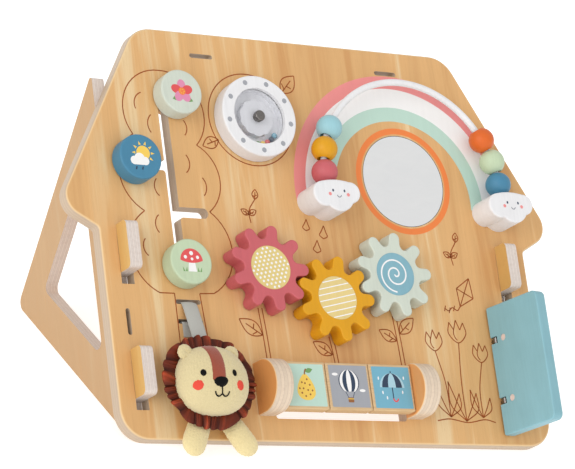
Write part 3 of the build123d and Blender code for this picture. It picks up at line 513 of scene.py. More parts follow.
@ready
def woven_ribbon(name, tone):
    """Ribbon: ribs across the width with painted shade in their troughs, a fine fluff between them and two
    denser selvedges.
    """
    finish = Finish(name, Sheen_Weight=0.2, Specular_IOR_Level=0.2)
    rib = finish.math("SINE", finish.math("MULTIPLY", finish.stored("along"), 2.0 * math.pi / RIB))
    selvedge = finish.math("ABSOLUTE", finish.stored("across"))
    fluff = finish.noise(1800.0, 3.0)
    height = finish.weigh(finish.span(rib, -1.0, 1.0), 0.6, fluff)
    # Painted shade: darker where the ribs dip
    cloth = finish.tones(height, 0.2, 0.8, tone, 0.84, 1.05)
    cloth = finish.over(cloth, shade(tone, 0.75), selvedge, 0.84, 0.9, 0.4)
    return finish.surface(cloth, finish.span(fluff, *USUAL, 0.85, 0.7), height, 0.2 * MM, 0.6)


@ready
def thread(name, tone):
    """Satin stitch: rows of thread side by side, with painted highlights on the raised strands and painted
    shade between them.
    """
    finish = Finish(name, Specular_IOR_Level=0.1)
    row = finish.math("SINE", finish.math("MULTIPLY", finish.stored("stitch"), 2.0 * math.pi / STITCH))
    fluff = finish.noise(2600.0)
    height = finish.weigh(finish.span(row, -1.0, 1.0), 0.6, fluff)
    # Painted highlights on the strands and painted shade between the rows
    strand = finish.mix(height, shade(tone, 0.78), shade(tone, 1.12))
    return finish.surface(strand, finish.span(height, 0.2, 0.8, 0.7, 0.45), height, 0.16 * MM, 0.6)


@ready
def studio_floor(name, tone, glow):
    """Pale sweep on a light table: almost even, with a breath of mottle."""
    finish = Finish(name, Specular_IOR_Level=0.0, Emission_Color=WHITE, Emission_Strength=glow)
    finish.place = finish.add("TexCoord", {}, "Object")
    mottle = finish.noise(3.0)
    sweep = finish.mix(mottle, shade(tone, 0.985), shade(tone))
    return finish.surface(sweep, finish.span(mottle, 0.0, 1.0, 0.9, 1.0), mottle, 0.1 * MM, 0.05)


# Plane curves, as arrays of points in millimetres


def spokes(angle):
    """Unit directions at angles in radians."""
    return np.stack([np.cos(angle), np.sin(angle)], -1)


def full_turn(count):
    """Angles spread evenly over a full turn, in radians."""
    return np.linspace(0.0, 2.0 * np.pi, count, endpoint=False)


def ray(distance, degrees):
    """Point at a distance in a direction."""
    return distance * spokes(math.radians(degrees))


def left_of(path):
    """Unit directions square to a plane path, on its left."""
    ahead = np.gradient(path, axis=0)
    return np.column_stack([-ahead[:, 1], ahead[:, 0]]) / np.linalg.norm(ahead, axis=1)[:, None]


def length_along(path):
    """Length of a path from its start to each of its points."""
    return np.cumsum(np.r_[0.0, np.linalg.norm(np.diff(path, axis=0), axis=1)])


def oval(centre, across, along, turn=0.0, count=36):
    """Closed ellipse: two half axes times cosine and sine, turned by an angle in degrees."""
    axes = np.stack([ray(across, turn), ray(along, turn + 90)])
    return np.asarray(centre) + spokes(full_turn(count)) @ axes


def circle(centre, radius, count=36):
    """Closed circle."""
    return oval(centre, radius, radius, 0.0, count)


def arc(start, through, end, count=18):
    """Open arc on the circle that is equally far from three points."""
    corners = np.array([start, through, end], float)
    sides = 2.0 * (corners[1:] - corners[0])
    squares = (corners ** 2).sum(1)
    centre = np.linalg.solve(sides, squares[1:] - squares[0])
    turns = np.arctan2(*(corners - centre).T[::-1])
    middle, sweep = (turns[1:] - turns[0]) % (2.0 * np.pi)
    if middle > sweep:
        sweep -= 2.0 * np.pi
    angle = turns[0] + sweep * np.linspace(0.0, 1.0, count)
    return centre + np.linalg.norm(corners[0] - centre) * spokes(angle)


def through(points, count=30):
    """Smooth open path: cubic pieces whose slopes are half the step between neighbouring points."""
    points = np.asarray(points, float)
    slopes = np.gradient(points, axis=0)
    place = np.linspace(0.0, len(points) - 1.0, count)
    first = np.minimum(place.astype(int), len(points) - 2)
    t = (place - first)[:, None]
    start, end = points[first], points[first + 1]
    leave, arrive = slopes[first], slopes[first + 1]
    rise = t * t * (3.0 - 2.0 * t)
    return start + (end - start) * rise + leave * t * (1 - t) ** 2 - arrive * t * t * (1 - t)


def joined(*paths):
    """Paths one after another as a single outline."""
    return np.concatenate([np.atleast_2d(path) for path in paths])


def box_outline(half_width, half_height, corner):
    """Closed rectangle with round corners: a quarter circle at each corner."""
    quarter = np.linspace(0.0, np.pi / 2.0, 6)
    corners = []
    for start, (side_x, side_y) in enumerate(((1, 1), (-1, 1), (-1, -1), (1, -1))):
        middle = np.array([side_x * (half_width - corner), side_y * (half_height - corner)])
        corners.append(middle + corner * spokes(quarter + start * np.pi / 2.0))
    return joined(*corners)


def leaf_outline(base, tip, fullness):
    """Two half sine waves from base to tip, each bulging by a share of the leaf's length."""
    base, tip = np.asarray(base, float), np.asarray(tip, float)
    side = fullness * np.array([base[1] - tip[1], tip[0] - base[0]])
    share = np.linspace(0.0, 1.0, 19)[:, None]
    bulge = side * np.sin(np.pi * share ** 0.9)
    spine = base + share * (tip - base)
    return spine + bulge, (spine - bulge)[::-1]


# Meshes


def grid_faces(rows, columns, round_columns=False, round_rows=False):
    """Quads of a grid of points, row by row, closed across the columns or rows that go round."""
    index = np.arange(rows * columns).reshape(rows, columns)
    if round_columns:
        index = np.hstack([index, index[:, :1]])
    if round_rows:
        index = np.vstack([index, index[:1]])
    return np.stack([index[:-1, :-1], index[:-1, 1:], index[1:, 1:], index[1:, :-1]], -1).reshape(-1, 4)


def add_piece(name, points, faces, materials, body, slot, picks=None, closed=False, **stored):
    """A new piece from board points: its finishes, its body, and values kept on its points.

    A closed piece has coincident points welded and its faces turned outwards.
    """
    mesh = bpy.data.meshes.new(name)
    places = board(np.reshape(points, (-1, 3)))
    mesh.from_pydata(places.tolist(), [], [list(map(int, face)) for face in faces])
    for key, values in stored.items():
        kept = mesh.attributes.new(key, "FLOAT", "POINT")
        kept.data.foreach_set("value", np.ravel(values).astype(np.float32))
    for material in materials:
        mesh.materials.append(material)
    if picks is not None:
        mesh.polygons.foreach_set("material_index", np.asarray(picks, np.int32))
    if closed:
        shell = bmesh.new()
        shell.from_mesh(mesh)
        bmesh.ops.remove_doubles(shell, verts=shell.verts, dist=WELD)
        bmesh.ops.recalc_face_normals(shell, faces=shell.faces)
        shell.to_mesh(mesh)
        shell.free()
    mesh.polygons.foreach_set("use_smooth", np.ones(len(mesh.polygons), bool))
    mesh.update()
    piece = bpy.data.objects.new(name, mesh)
    bpy.context.scene.collection.objects.link(piece)
    if body:
        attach(piece, body)
    return piece


def dress(material, *nodes):
    """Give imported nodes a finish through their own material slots."""
    for node in nodes:
        piece = frame["nodes"][node]
        for material_slot in piece.material_slots:
            material_slot.material = material
        if not piece.material_slots:
            piece.data.materials.append(material)


class Drawing:
    """Flat shapes on a face, in millimetres about its middle; each level lies one film above the last."""

    def __init__(self):
        self.points, self.faces, self.inks = [], [], []

    def keep(self, outline, faces, ink, level):
        """Add points at a level, and faces that count from the first of them."""
        start = sum(map(len, self.points))
        self.points.append(np.column_stack([outline, np.full(len(outline), FILM * level)]))
        self.faces += [[start + corner for corner in face] for face in faces]
        self.inks += [ink] * len(faces)

    def fill(self, outline, ink, level=1.0):
        """A closed outline as one face, run anticlockwise so that it looks out of the board."""
        outline = np.asarray(outline, float)
        x, y = outline.T
        if np.dot(x, np.roll(y, -1)) < np.dot(y, np.roll(x, -1)):
            outline = outline[::-1]
        self.keep(outline, [range(len(outline))], ink, level)

    def band(self, right, left, ink, level=1.0):
        """A strip between two paths of as many points, the second on the left of the first."""
        count = len(right)
        faces = [(k, k + 1, count + k + 1, count + k) for k in range(count - 1)]
        self.keep(np.concatenate([right, left]), faces, ink, level)

    def line(self, path, ink, width, level=1.0):
        """A stroke: the path moved half the width to either side, square to its direction."""
        path = np.asarray(path, float)
        side = left_of(path) * width / 2
        self.band(path - side, path + side, ink, level)

    def ring(self, centre, inner, outer, ink, level=1.0, start=0.0, end=360.0, count=121):
        """A ring or part of one between two radii."""
        spoke = spokes(np.radians(np.linspace(start, end, count)))
        self.band(np.asarray(centre) + outer * spoke, np.asarray(centre) + inner * spoke, ink, level)

    def lay(self, name, middle, body, slot, finishes, back=False):
        """Make the drawing a piece about a board place, turned round the board's y axis on a back face."""
        turn = np.array([-1.0, 1.0, -1.0]) if back else np.ones(3)
        names = list(dict.fromkeys(self.inks))
        picks = [names.index(ink) for ink in self.inks]
        points = np.asarray(middle) + turn * np.concatenate(self.points)
        return add_piece(name, points, self.faces, [finishes(ink) for ink in names], body, slot, picks)


def inks_of(house):
    """Maker of print finishes by the name of their colour."""
    return lambda ink: print_ink(f"print_{ink}", getattr(house.prints, ink))


# Rainbow and mirror ring


def rainbow_bands():
    """Three half rings over the mirror, and a ring round it with a thin dark line at the glass."""
    glass = face_of("mirror_disc")[:2]
    drawing = Drawing()
    for ink, inner, outer in RAINBOW:
        drawing.ring(RAINBOW_CENTRE, inner, outer, ink, 1.0, *RAINBOW_SWEEP)
    drawing.ring(glass, *MIRROR_RING, "orange")
    drawing.ring(glass, *MIRROR_LINE, "navy", 1.5)
    return drawing


# Burnt lines


def straight_lines(line, corners):
    """Straight lines from corner to corner."""
    for start, end in zip(corners[:-1], corners[1:]):
        line([start, end])


def burnt_tree(line):
    """A tree: scalloped crown in arcs from cusp to cusp, two trunk lines and short arcs of bark."""
    crown = (((-122.0, 284.0), (-156.5, 253.0), (-150.6, 231.8)),
             ((-150.6, 231.8), (-166.0, 205.0), (-148.3, 172.4)),
             ((-148.3, 172.4), (-156.6, 165.2), (-162.9, 156.4)),
             ((-162.6, 132.0), (-155.8, 119.5), (-143.6, 110.1)),
             ((-122.0, 284.0), (-88.6, 259.7), (-96.9, 226.7)),
             ((-96.9, 226.7), (-80.4, 199.0), (-92.8, 174.7)),
             ((-92.8, 174.7), (-77.5, 145.5), (-97.9, 111.4)))
    for cusps in crown:
        line(arc(*cusps))
    for trunk in (((-143.6, 110.1), (-131.5, 110.2), (-131.7, 60.0)),
                  ((-97.9, 111.4), (-110.2, 110.8), (-106.8, 60.0))):
        straight_lines(line, trunk)
    bark = ((-139.6, 265.2, -145.6, 252.0, 0.25), (-133.4, 248.1, -134.7, 234.0, 0.2),
            (-105.9, 245.7, -106.1, 233.8, -0.2), (-107.4, 218.4, -108.7, 204.3, -0.22),
            (-95.5, 201.2, -95.8, 187.1, -0.2), (-135.1, 198.2, -134.1, 184.8, 0.22),
            (-136.9, 170.0, -137.9, 156.2, 0.22), (-150.5, 151.1, -149.4, 138.0, 0.22))
    for x0, y0, x1, y1, bulge in bark:
        line(arc((x0, y0), ((x0 + x1) / 2 - bulge * (y0 - y1), (y0 + y1) / 2), (x1, y1), 10))


def burnt_leaf(line, base, tip, fullness=0.3):
    """A leaf: two half waves, a midrib and a pair of side veins."""
    base, tip = np.asarray(base, float), np.asarray(tip, float)
    upper, lower = leaf_outline(base, tip, fullness)
    line(upper)
    line(lower)
    line(base + np.outer(np.linspace(0.0, 0.72, 6), tip - base))
    for side, root, reach in ((upper, 0.22, 0.45), (lower, 0.4, 0.42)):
        target = side[int(reach * len(side))]
        line([base + root * (tip - base), 0.25 * base + 0.75 * target])


def burnt_sprig(line, foot, height, lean):
    """A sprig: a bent stem with a pair of leaves and one at its tip."""
    foot = np.asarray(foot, float)
    tip = foot + (lean, height)
    stem = through([foot, (foot + tip) / 2 + (-0.18 * height, 0.0), tip], 24)
    line(stem)
    burnt_leaf(line, tip, tip + ray(0.42 * height, 80.0), 0.32)
    root = stem[int(0.35 * len(stem))]
    for heading in (150.0, 28.0):
        burnt_leaf(line, root, root + ray(0.4 * height, heading))


def burnt_tulip(line, foot, height, size, lean):
    """A tulip: stem, two long leaves from the ground, and a cup with three points."""
    foot = np.asarray(foot, float)
    neck = foot + (lean, height)
    line(through([foot, foot + (0.1 * lean, 0.5 * height), neck]))
    cup = ((-0.5, 1.25), (-0.62, 0.55), (0.0, 0.0), (0.62, 0.55), (0.5, 1.25))
    line(through(neck + size * np.array(cup), 40))
    rim = ((-0.5, 1.25), (-0.22, 0.8), (0.0, 1.4), (0.22, 0.8), (0.5, 1.25))
    straight_lines(line, neck + size * np.array(rim))
    petal = ((-0.22, 0.8), (-0.24, 0.45), (-0.05, 0.16))
    line(arc(*(neck + size * np.array(petal))))
    for side, share in ((-1.0, 0.5), (1.0, 0.36)):
        tip = foot + (side * 0.2 * height, share * height)
        line(through([foot, foot + (side * 0.2 * height, 0.4 * share * height), tip]))
        line(through([tip, foot + (side * 0.1 * height, 0.45 * share * height), foot]))


def burnt_kite(line, middle, size):
    """A kite: four sides, two spars and a tail with ties."""
    sail = ((0.28, 0.5), (0.34, -0.1), (-0.16, -0.36), (-0.2, 0.18), (0.28, 0.5))
    corners = np.asarray(middle) + size * np.array(sail)
    straight_lines(line, corners)
    line(corners[[0, 2]])
    line(corners[[1, 3]])
    wave = ((0.0, 0.0), (-0.12, -0.12), (-0.28, -0.04), (-0.42, -0.14), (-0.56, -0.06))
    tail = through(corners[2] + size * np.array(wave))
    line(tail)
    for share in (0.4, 0.68, 0.96):
        knot = tail[int(share * len(tail))]
        line([knot + ray(0.09 * size, 70.0), knot + ray(0.09 * size, 250.0)])


def burnt_drop(line, top, foot):
    """A raindrop: two curves from the tip round a full belly."""
    top, foot = np.asarray(top, float), np.asarray(foot, float)
    drop = foot - top
    for hand in (0.34, -0.34):
        side = hand * np.array([-drop[1], drop[0]])
        line(through([top, top + 0.45 * drop + 0.55 * side, top + 0.78 * drop + 0.95 * side, foot], 20))


def burnt_stems(line):
    """Flower stems under the gears: two lines each, with leaves."""
    foot = 61.0
    for x, top in ((-58.5, 102.0), (0.8, 82.0), (60.8, 100.0)):
        for side in (-1.7, 1.7):
            line(through([(x + side - 1.4, top), (x + side, (top + foot) / 2), (x + side + 0.9, foot)], 12))
    for tip, base in (((-79.1, 92.9), (-60.6, 81.0)), ((-17.0, 77.4), (-1.4, 67.8)),
                      ((43.9, 88.9), (58.6, 80.7)), ((76.8, 99.2), (62.4, 86.4))):
        burnt_leaf(line, base, tip, 0.26)


def burnt_lines(house):
    """Everything that is burnt into the panel's face."""
    drawing = Drawing()
    width = house.wood.line / MM

    def line(path):
        drawing.line(path, "burn", width)

    burnt_tree(line)
    line(joined(circle((-46.5, 250.6), 36.7, 90), [(-9.8, 250.6)]))
    burnt_leaf(line, (-15.4, 274.6), (-2.1, 289.6))
    burnt_leaf(line, (-77.2, 232.4), (-91.6, 226.6))
    for top, foot in (((-8.5, 173.7), (-9.9, 164.6)), ((6.4, 169.4), (4.8, 159.0)),
                      ((-1.1, 157.5), (-2.6, 147.5))):
        burnt_drop(line, top, foot)
    burnt_stems(line)
    burnt_sprig(line, (-58.0, 168.0), 19.0, 6.0)
    burnt_sprig(line, (122.0, 143.5), 19.0, 5.0)
    burnt_kite(line, (127.0, 120.0), 27.0)
    for foot, height, size, lean in (((99.0, 22.0), 52.0, 12.0, -6.0), ((113.0, 19.0), 62.0, 13.0, 3.0),
                                     ((129.0, 22.0), 44.0, 11.0, 6.0)):
        burnt_tulip(line, foot, height, size, lean)
    line(through([(86.0, 19.0), (98.0, 20.5), (114.0, 18.0), (130.0, 20.5), (140.0, 18.5)]))
    burn = burnt_line("burnt", house.wood.burn)
    drawing.lay("burnt_lines", BOARD_FOOT, "house", "panel_wood", lambda ink: burn)


# Pictures on gears, clouds, knobs, tiles and rattle


def gear_dots():
    """Dots in staggered rows, kept inside the round face."""
    column_step, row_step, slant, dot, reach = 3.9, 3.0, 12.0, 0.95, 15.8
    drawing = Drawing()
    column, row = np.meshgrid(np.arange(-8, 9), np.arange(-8, 9))
    places = np.stack([column_step * (column + 0.5 * (row % 2)), row_step * row], -1).reshape(-1, 2)
    places = places @ np.stack([ray(1.0, slant), ray(1.0, slant + 90.0)])
    for place in places[np.linalg.norm(places, axis=1) < reach]:
        drawing.fill(circle(place, dot, 14), "white")
    return drawing


def gear_stripes():
    """Slanting stripes cut off at the round face."""
    step, reach, slant, width = 4.6, 16.4, 13.0, 0.8
    drawing = Drawing()
    for offset in step * np.arange(-3, 4):
        middle = ray(offset, slant + 90.0)
        half = ray(math.sqrt(reach ** 2 - offset ** 2), slant)
        drawing.line([middle - half, middle + half], "white", width)
    return drawing


def gear_spiral():
    """A spiral whose radius grows evenly over about two turns, out to the foot of the face."""
    turns, start, end, growth, width = 2.15, 0.6, 268.0, 13.6, 1.25
    drawing = Drawing()
    share = np.linspace(0.0, 1.0, 150)
    angle = np.radians(end) - 2.0 * np.pi * turns * (1 - share)
    drawing.line((start + growth * share)[:, None] * spokes(angle), "white", width)
    return drawing


def cloud_face():
    """Two dot eyes, two cheeks and a smile."""
    drawing = Drawing()
    for side in (-1.0, 1.0):
        drawing.fill(oval((side * 5.1, 2.2), 0.8, 1.15), "navy")
        drawing.fill(circle((side * 8.1, -0.7), 1.4, 20), "pink")
    drawing.line(arc((-1.7, -1.3), (0.0, -3.0), (1.7, -1.3)), "navy", 0.5)
    return drawing


def flower_picture():
    """A flower with five petals, a round middle and two leaves."""
    drawing = Drawing()
    for tip in ((-8.8, -6.6), (8.6, -7.4)):
        drawing.fill(joined(*leaf_outline((0.0, -4.0), tip, 0.26)), "leaf")
    for k, ink in enumerate(("rose", "coral", "rose", "rose", "coral")):
        heading = 90.0 + 72.0 * k
        drawing.fill(oval(ray(4.9, heading), 4.4, 3.5, heading), ink, 1.5 + 0.2 * k)
    drawing.fill(circle((0.0, 0.0), 3.0), "orange", 3.0)
    for k in range(6):
        drawing.fill(circle(ray(1.7, 60.0 * k), 0.4, 10), "sun", 3.5)
    return drawing


def sun_picture():
    """A sun with rays behind a small cloud, and two drops below."""
    drawing = Drawing()
    sun = np.array([1.8, 2.6])
    for k in range(10):
        heading = 36.0 * k
        drawing.fill(sun + [ray(9.6, heading), ray(6.6, heading + 9), ray(6.6, heading - 9)], "sun")
    drawing.fill(circle(sun, 5.6), "sun", 1.4)
    for k, (place, radius) in enumerate((((-6.0, -3.4), 3.3), ((-1.6, -1.8), 4.3), ((3.0, -3.6), 3.2))):
        drawing.fill(circle(place, radius), "white", 2.0 + 0.2 * k)
    drawing.fill(box_outline(4.6, 1.6, 1.5) + (-1.5, -5.1), "white", 2.8)
    for x in (-4.6, 0.6):
        drawing.line([(x, -8.0), (x - 0.8, -10.4)], "navy", 1.1)
    return drawing


def toadstool_picture():
    """A spotted cap on a stout stem, in grass."""
    drawing = Drawing()
    left_side = arc((-2.4, 1.0), (-3.0, -4.0), (-3.4, -8.0))
    right_side = arc((3.4, -8.0), (3.0, -4.0), (2.4, 1.0))
    drawing.fill(joined(left_side, right_side), "white")
    cap = joined(arc((-9.4, 0.6), (0.0, 9.6), (9.4, 0.6), 40), arc((9.4, 0.6), (0.0, -1.4), (-9.4, 0.6)))
    drawing.fill(cap, "coral", 1.6)
    for place, radius in (((-5.0, 3.0), 1.35), ((0.2, 6.0), 1.6), ((5.2, 3.0), 1.3), ((0.4, 1.6), 1.1)):
        drawing.fill(circle(place, radius, 20), "white", 2.2)
    for x, lean in ((-7.0, -1.2), (-5.2, 0.6), (5.0, -0.4), (6.8, 1.0)):
        drawing.fill([(x - 0.8, -8.0), (x + 0.8, -8.0), (x + lean, -4.4)], "leaf")
    return drawing


def pear_picture(drawing):
    """A speckled pear: an ellipse that narrows towards its stalk, with a leaf."""
    angle = full_turn(60)
    width = np.cos(angle) * (7.4 - 2.9 * np.sin(angle))
    drawing.fill(np.stack([width, 10.0 * np.sin(angle) - 1.5], 1), "sun", 2.0)
    drawing.line(through([(0.0, 8.0), (0.4, 10.4), (1.6, 12.4)]), "brown", 1.1, 2.4)
    drawing.fill(joined(*leaf_outline((0.7, 10.2), (7.4, 12.2), 0.26)), "leaf", 2.2)
    for speck in ((-4.0, -6.0), (-1.0, -8.4), (3.0, -7.0), (5.2, -4.0), (-5.6, -2.6), (-2.4, -2.6),
                  (1.4, -3.8), (3.4, 0.2), (-0.6, 1.4), (-3.2, 2.0), (1.4, 4.4)):
        drawing.fill(circle(speck, 0.75, 14), "brown", 2.5)


def gores(drawing, middle, radius, low, tones):
    """A ball in gores: each lies between two half ellipses, from a lowest angle up to the top."""
    turn = np.radians(np.linspace(low, 90.0, 24))
    edges = np.sin(np.linspace(-np.pi / 2.0, np.pi / 2.0, len(tones) + 1))
    for left, right, ink in zip(edges[:-1], edges[1:], tones):
        left_side, right_side = (np.stack([side * np.cos(turn), np.sin(turn)], 1) for side in (left, right))
        drawing.fill(np.asarray(middle) + radius * joined(right_side, left_side[::-1]), ink, 2.0)


def balloon_picture(drawing):
    """A striped air balloon with ropes and a basket."""
    gores(drawing, (0.0, 3.6), 9.0, -58.0, ("navy", "white") * 3 + ("navy",))
    for side in (-1.0, 1.0):
        drawing.line([(side * 4.0, -4.0), (side * 1.9, -8.8)], "navy", 0.5, 2.4)
    drawing.fill(box_outline(2.5, 1.9, 0.6) + (0.0, -10.4), "brown", 2.4)
    drawing.line([(-2.5, -9.6), (2.5, -9.6)], "sun", 0.6, 2.8)
    for x, y in ((-11.6, 9.0), (11.2, -3.0)):
        drawing.fill(oval((x, y), 2.6, 1.1), "white", 1.5)


def umbrella_picture(drawing):
    """An open umbrella: gores over a scalloped rim, a hooked handle and a few drops."""
    gores(drawing, (0.0, 0.0), 11.0, 0.0, ("ice", "navy", "ice", "navy", "ice"))
    drawing.line(joined([(0.0, 12.6), (0.0, 10.6)], [(0.0, 0.0), (0.0, -8.4)]), "navy", 0.9, 1.8)
    drawing.line(arc((0.0, -8.4), (2.0, -10.6), (4.0, -8.4)), "coral", 1.2, 2.2)
    for x, y in ((-9.0, -4.0), (-5.6, -8.0), (8.8, -3.4), (11.2, 7.6), (-11.4, 7.0)):
        drawing.fill(oval((x, y), 0.6, 1.3), "white", 1.5)


def tile_sign(drawing, corners, ink):
    """A plain shape for the back of a tile: a round or a star with so many corners."""
    if corners:
        number = np.arange(2 * corners)
        reach = np.where(number % 2, 5.0, 10.5)
        drawing.fill(reach[:, None] * spokes(np.radians(90.0 + 180.0 * number / corners)), ink, 2.0)
    else:
        drawing.fill(circle((0.0, 0.0), 8.5), ink, 2.0)


def rattle_marks():
    """Nine round marks on the rim, two of them beside the top."""
    drawing = Drawing()
    for k in range(9):
        drawing.fill(circle(ray(27.3, 110.0 + 40.0 * k), 2.0, 24), "grey")
    return drawing


# Plush lion


# Head, in board millimetres: middle, half axes, heights along n, and how full and tapered its outline is
LION = np.array([-122.0, 38.7])
HEAD_HALF = np.array([29.0, 25.5])
HEAD_MIDDLE = 19.4
HEAD_FRONT = 18.6
HEAD_BACK = 18.8
HEAD_FULLNESS = 2.25
HEAD_TAPER = 0.06

# Face, from the head's middle: its centre, lift and width of stitches, run and half width of the blaze
FACE = np.array([-2.8, 1.5])
STITCH_LIFT = 0.05
MOUTH_WIDTH = 1.0
BLAZE_RUN = (24.5, -4.0)
BLAZE_HALF = 5.1

# Ears and legs; a leg's foot begins to round and ends at these shares of its length
EAR_RADIUS = 6.0
EAR_DEPTH = 3.0
LEG_HALF_WIDTH = 9.3
LEG_HALF_DEPTH = 5.6
LEG_ROUND = 0.72
LEG_END = 1.02

# Frill's middle along n, and the ribbon's half sizes
MANE_MIDDLE = 17.0
RIBBON_HALF_WIDTH = 6.4
RIBBON_HALF_THICKNESS = 0.36

# Tufts of the plush: number of waves, and their length in metres
TUFT_WAVES = 8
TUFT_LENGTH = 2.1 * MM


def ball_angles(rows, columns):
    """Latitude and longitude over a whole ball, pole to pole."""
    return np.meshgrid(np.linspace(-np.pi / 2, np.pi / 2, rows), full_turn(columns), indexing="ij")


def full_distance(u, v):
    """How far out a place lies on a full oval: a root of the sum of both shares to a power."""
    return (np.abs(u) ** HEAD_FULLNESS + np.abs(v) ** HEAD_FULLNESS) ** (1 / HEAD_FULLNESS)


def stuffing(u, v):
    """Soft lumps of the stuffing, a product of two slow waves."""
    return 0.25 * np.sin(7 * u + 2) * np.sin(6 * v + 1)


def head_points(rows, columns):
    """Stuffed head: a full oval outline, broader at the cheeks, domed in front and cushion-flat behind."""
    latitude, longitude = ball_angles(rows, columns)
    rise, level = np.sin(latitude), np.cos(latitude)
    width = np.where(rise > 0, level, level ** 0.62) / full_distance(np.cos(longitude), np.sin(longitude))
    depth = np.where(rise > 0, HEAD_FRONT * rise, -HEAD_BACK * np.abs(rise) ** 0.8)
    u, v = width * np.cos(longitude), width * np.sin(longitude)
    x = LION[0] + HEAD_HALF[0] * u * (1 - HEAD_TAPER * v)
    return np.stack([x, LION[1] + HEAD_HALF[1] * v, HEAD_MIDDLE + depth + level * stuffing(u, v)], -1)


def on_face(x, y, lift):
    """Board points on the head's dome at an offset from its middle, lifted along n."""
    v = np.clip(y / HEAD_HALF[1], -1, 1)
    u = x / (HEAD_HALF[0] * (1 - HEAD_TAPER * v))
    spread = np.clip(full_distance(u, v), 0, 1)
    dome = HEAD_MIDDLE + HEAD_FRONT * np.sqrt(1 - spread ** 2) + spread * stuffing(u, v)
    return np.stack([LION[0] + x, LION[1] + y, dome + lift], -1)


def sewn_patch(name, centre, half_width, half_height, bulge, material, corner=0.0, slant=0.0):
    """Raised stitching: an oval, or with corners a rounded triangle, domed over the head's surface."""
    rows, columns = 9, 40
    reach, angle = np.meshgrid(np.linspace(0.0, 1.0, rows), full_turn(columns), indexing="ij")
    edge = reach * (1 + corner * np.cos(3 * (angle + np.pi / 2)))
    x = centre[0] + half_width * edge * np.cos(angle)
    y = centre[1] + half_height * edge * np.sin(angle)
    points = on_face(x, y, bulge * (1 - reach ** 4) + STITCH_LIFT)
    stitch = x * math.cos(slant) + y * math.sin(slant)
    faces = grid_faces(rows, columns, True)
    return add_piece(name, points, faces, [material], "lion", "lion_plush", closed=True, stitch=stitch)


def sewn_line(name, path, width, material):
    """A raised line of stitches: a half-round profile carried along a path on the head."""
    path = np.asarray(path, float)
    turn = np.linspace(0.0, np.pi, 9)
    across = path[:, None, :] + 0.5 * width * np.cos(turn)[None, :, None] * left_of(path)[:, None, :]
    points = on_face(across[..., 0], across[..., 1], 0.6 * width * np.sin(turn)[None, :] + STITCH_LIFT)
    stitch = np.broadcast_to(length_along(path)[:, None], across.shape[:2])
    faces = grid_faces(len(path), len(turn))
    return add_piece(name, points, faces, [material], "lion", "lion_plush", stitch=stitch)


def lion_face(house):
    """Eyes, nose, mouth and cheeks in stitches, and the strip of plush down the forehead."""
    black, coral = thread("thread_black", house.lion.thread), thread("thread_coral", house.lion.cheek)
    for name, x in (("left", -12.4), ("right", 12.4)):
        sewn_patch(f"lion_eye_{name}", FACE + (x, 0.0), 2.05, 2.55, 0.75, black)
    for name, x, half in (("left", -16.4, 3.45), ("right", 17.2, 3.5)):
        sewn_patch(f"lion_cheek_{name}", FACE + (x, -8.6), half, 3.6, 0.5, coral, slant=0.9)
    sewn_patch("lion_nose", FACE + (0.0, -6.6), 5.7, 3.9, 1.3, black, corner=0.05)
    lip = FACE + (1.2, -15.3)
    stem = through([FACE + (0.5, -9.0), FACE + (0.9, -12.2), lip], 12)
    sewn_line("lion_mouth_stem", stem, MOUTH_WIDTH, black)
    for name, side in (("left", -1.0), ("right", 1.0)):
        curl = through([lip, lip + (side * 2.4, -1.5), lip + (side * 4.7, -0.6), lip + (side * 5.7, 1.7)])
        sewn_line(f"lion_mouth_{name}", curl, MOUTH_WIDTH, black)
    rows, columns = 32, 13
    along, across = np.meshgrid(np.linspace(*BLAZE_RUN, rows), np.linspace(-1.0, 1.0, columns), indexing="ij")
    centre = FACE[0] - 0.9 + 0.6 * np.sin((along - 2.0) / 8.0)
    points = on_face(centre + BLAZE_HALF * across, along, 0.5 * (1 - across ** 6) + 0.12)
    pile = plush("plush_blaze", house.lion.blaze, BLAZE_PILE)
    strip = add_piece("lion_blaze", points, grid_faces(rows, columns)[:, ::-1], [pile], "lion", "mane_felt")


def ear_points(middle):
    """Ear: a flattened ball whose front is dished."""
    latitude, longitude = ball_angles(49, 90)
    width, rise = np.cos(latitude), np.sin(latitude)
    dish = np.where(rise > 0, 0.4 * (1 - width) ** 2, 0.0)
    outline = middle[:2] + EAR_RADIUS * width[..., None] * spokes(longitude)
    return np.concatenate([outline, (middle[2] + EAR_DEPTH * (rise - dish))[..., None]], -1)


def leg_points(top_x, foot_x):
    """Leg: an oval that swells a little towards a round foot, carried along a line from under the head."""
    top = np.array([LION[0] + top_x, 17.0, 5.5])
    foot = np.array([LION[0] + foot_x, -13.0, 13.5])
    share = LEG_END * np.sin(np.linspace(0.0, np.pi / 2, 110))
    swell = 0.86 + 0.14 * np.sin(np.clip(share / LEG_ROUND, 0, 1) * np.pi / 2)
    cap = np.sqrt(np.clip(1 - ((share - LEG_ROUND) / (LEG_END - LEG_ROUND)) ** 2, 0, 1))
    size = np.where(share < LEG_ROUND, swell, cap)
    size[0] = 0.0
    ahead = (foot - top) / np.linalg.norm(foot - top)
    sideways = np.cross(ahead, [0.0, 0.0, 1.0])
    sideways /= np.linalg.norm(sideways)
    outward = np.cross(sideways, ahead)
    ring = spokes(full_turn(110)) @ np.stack([LEG_HALF_WIDTH * sideways, LEG_HALF_DEPTH * outward])
    return top + share[:, None, None] * (foot - top) + size[:, None, None] * ring


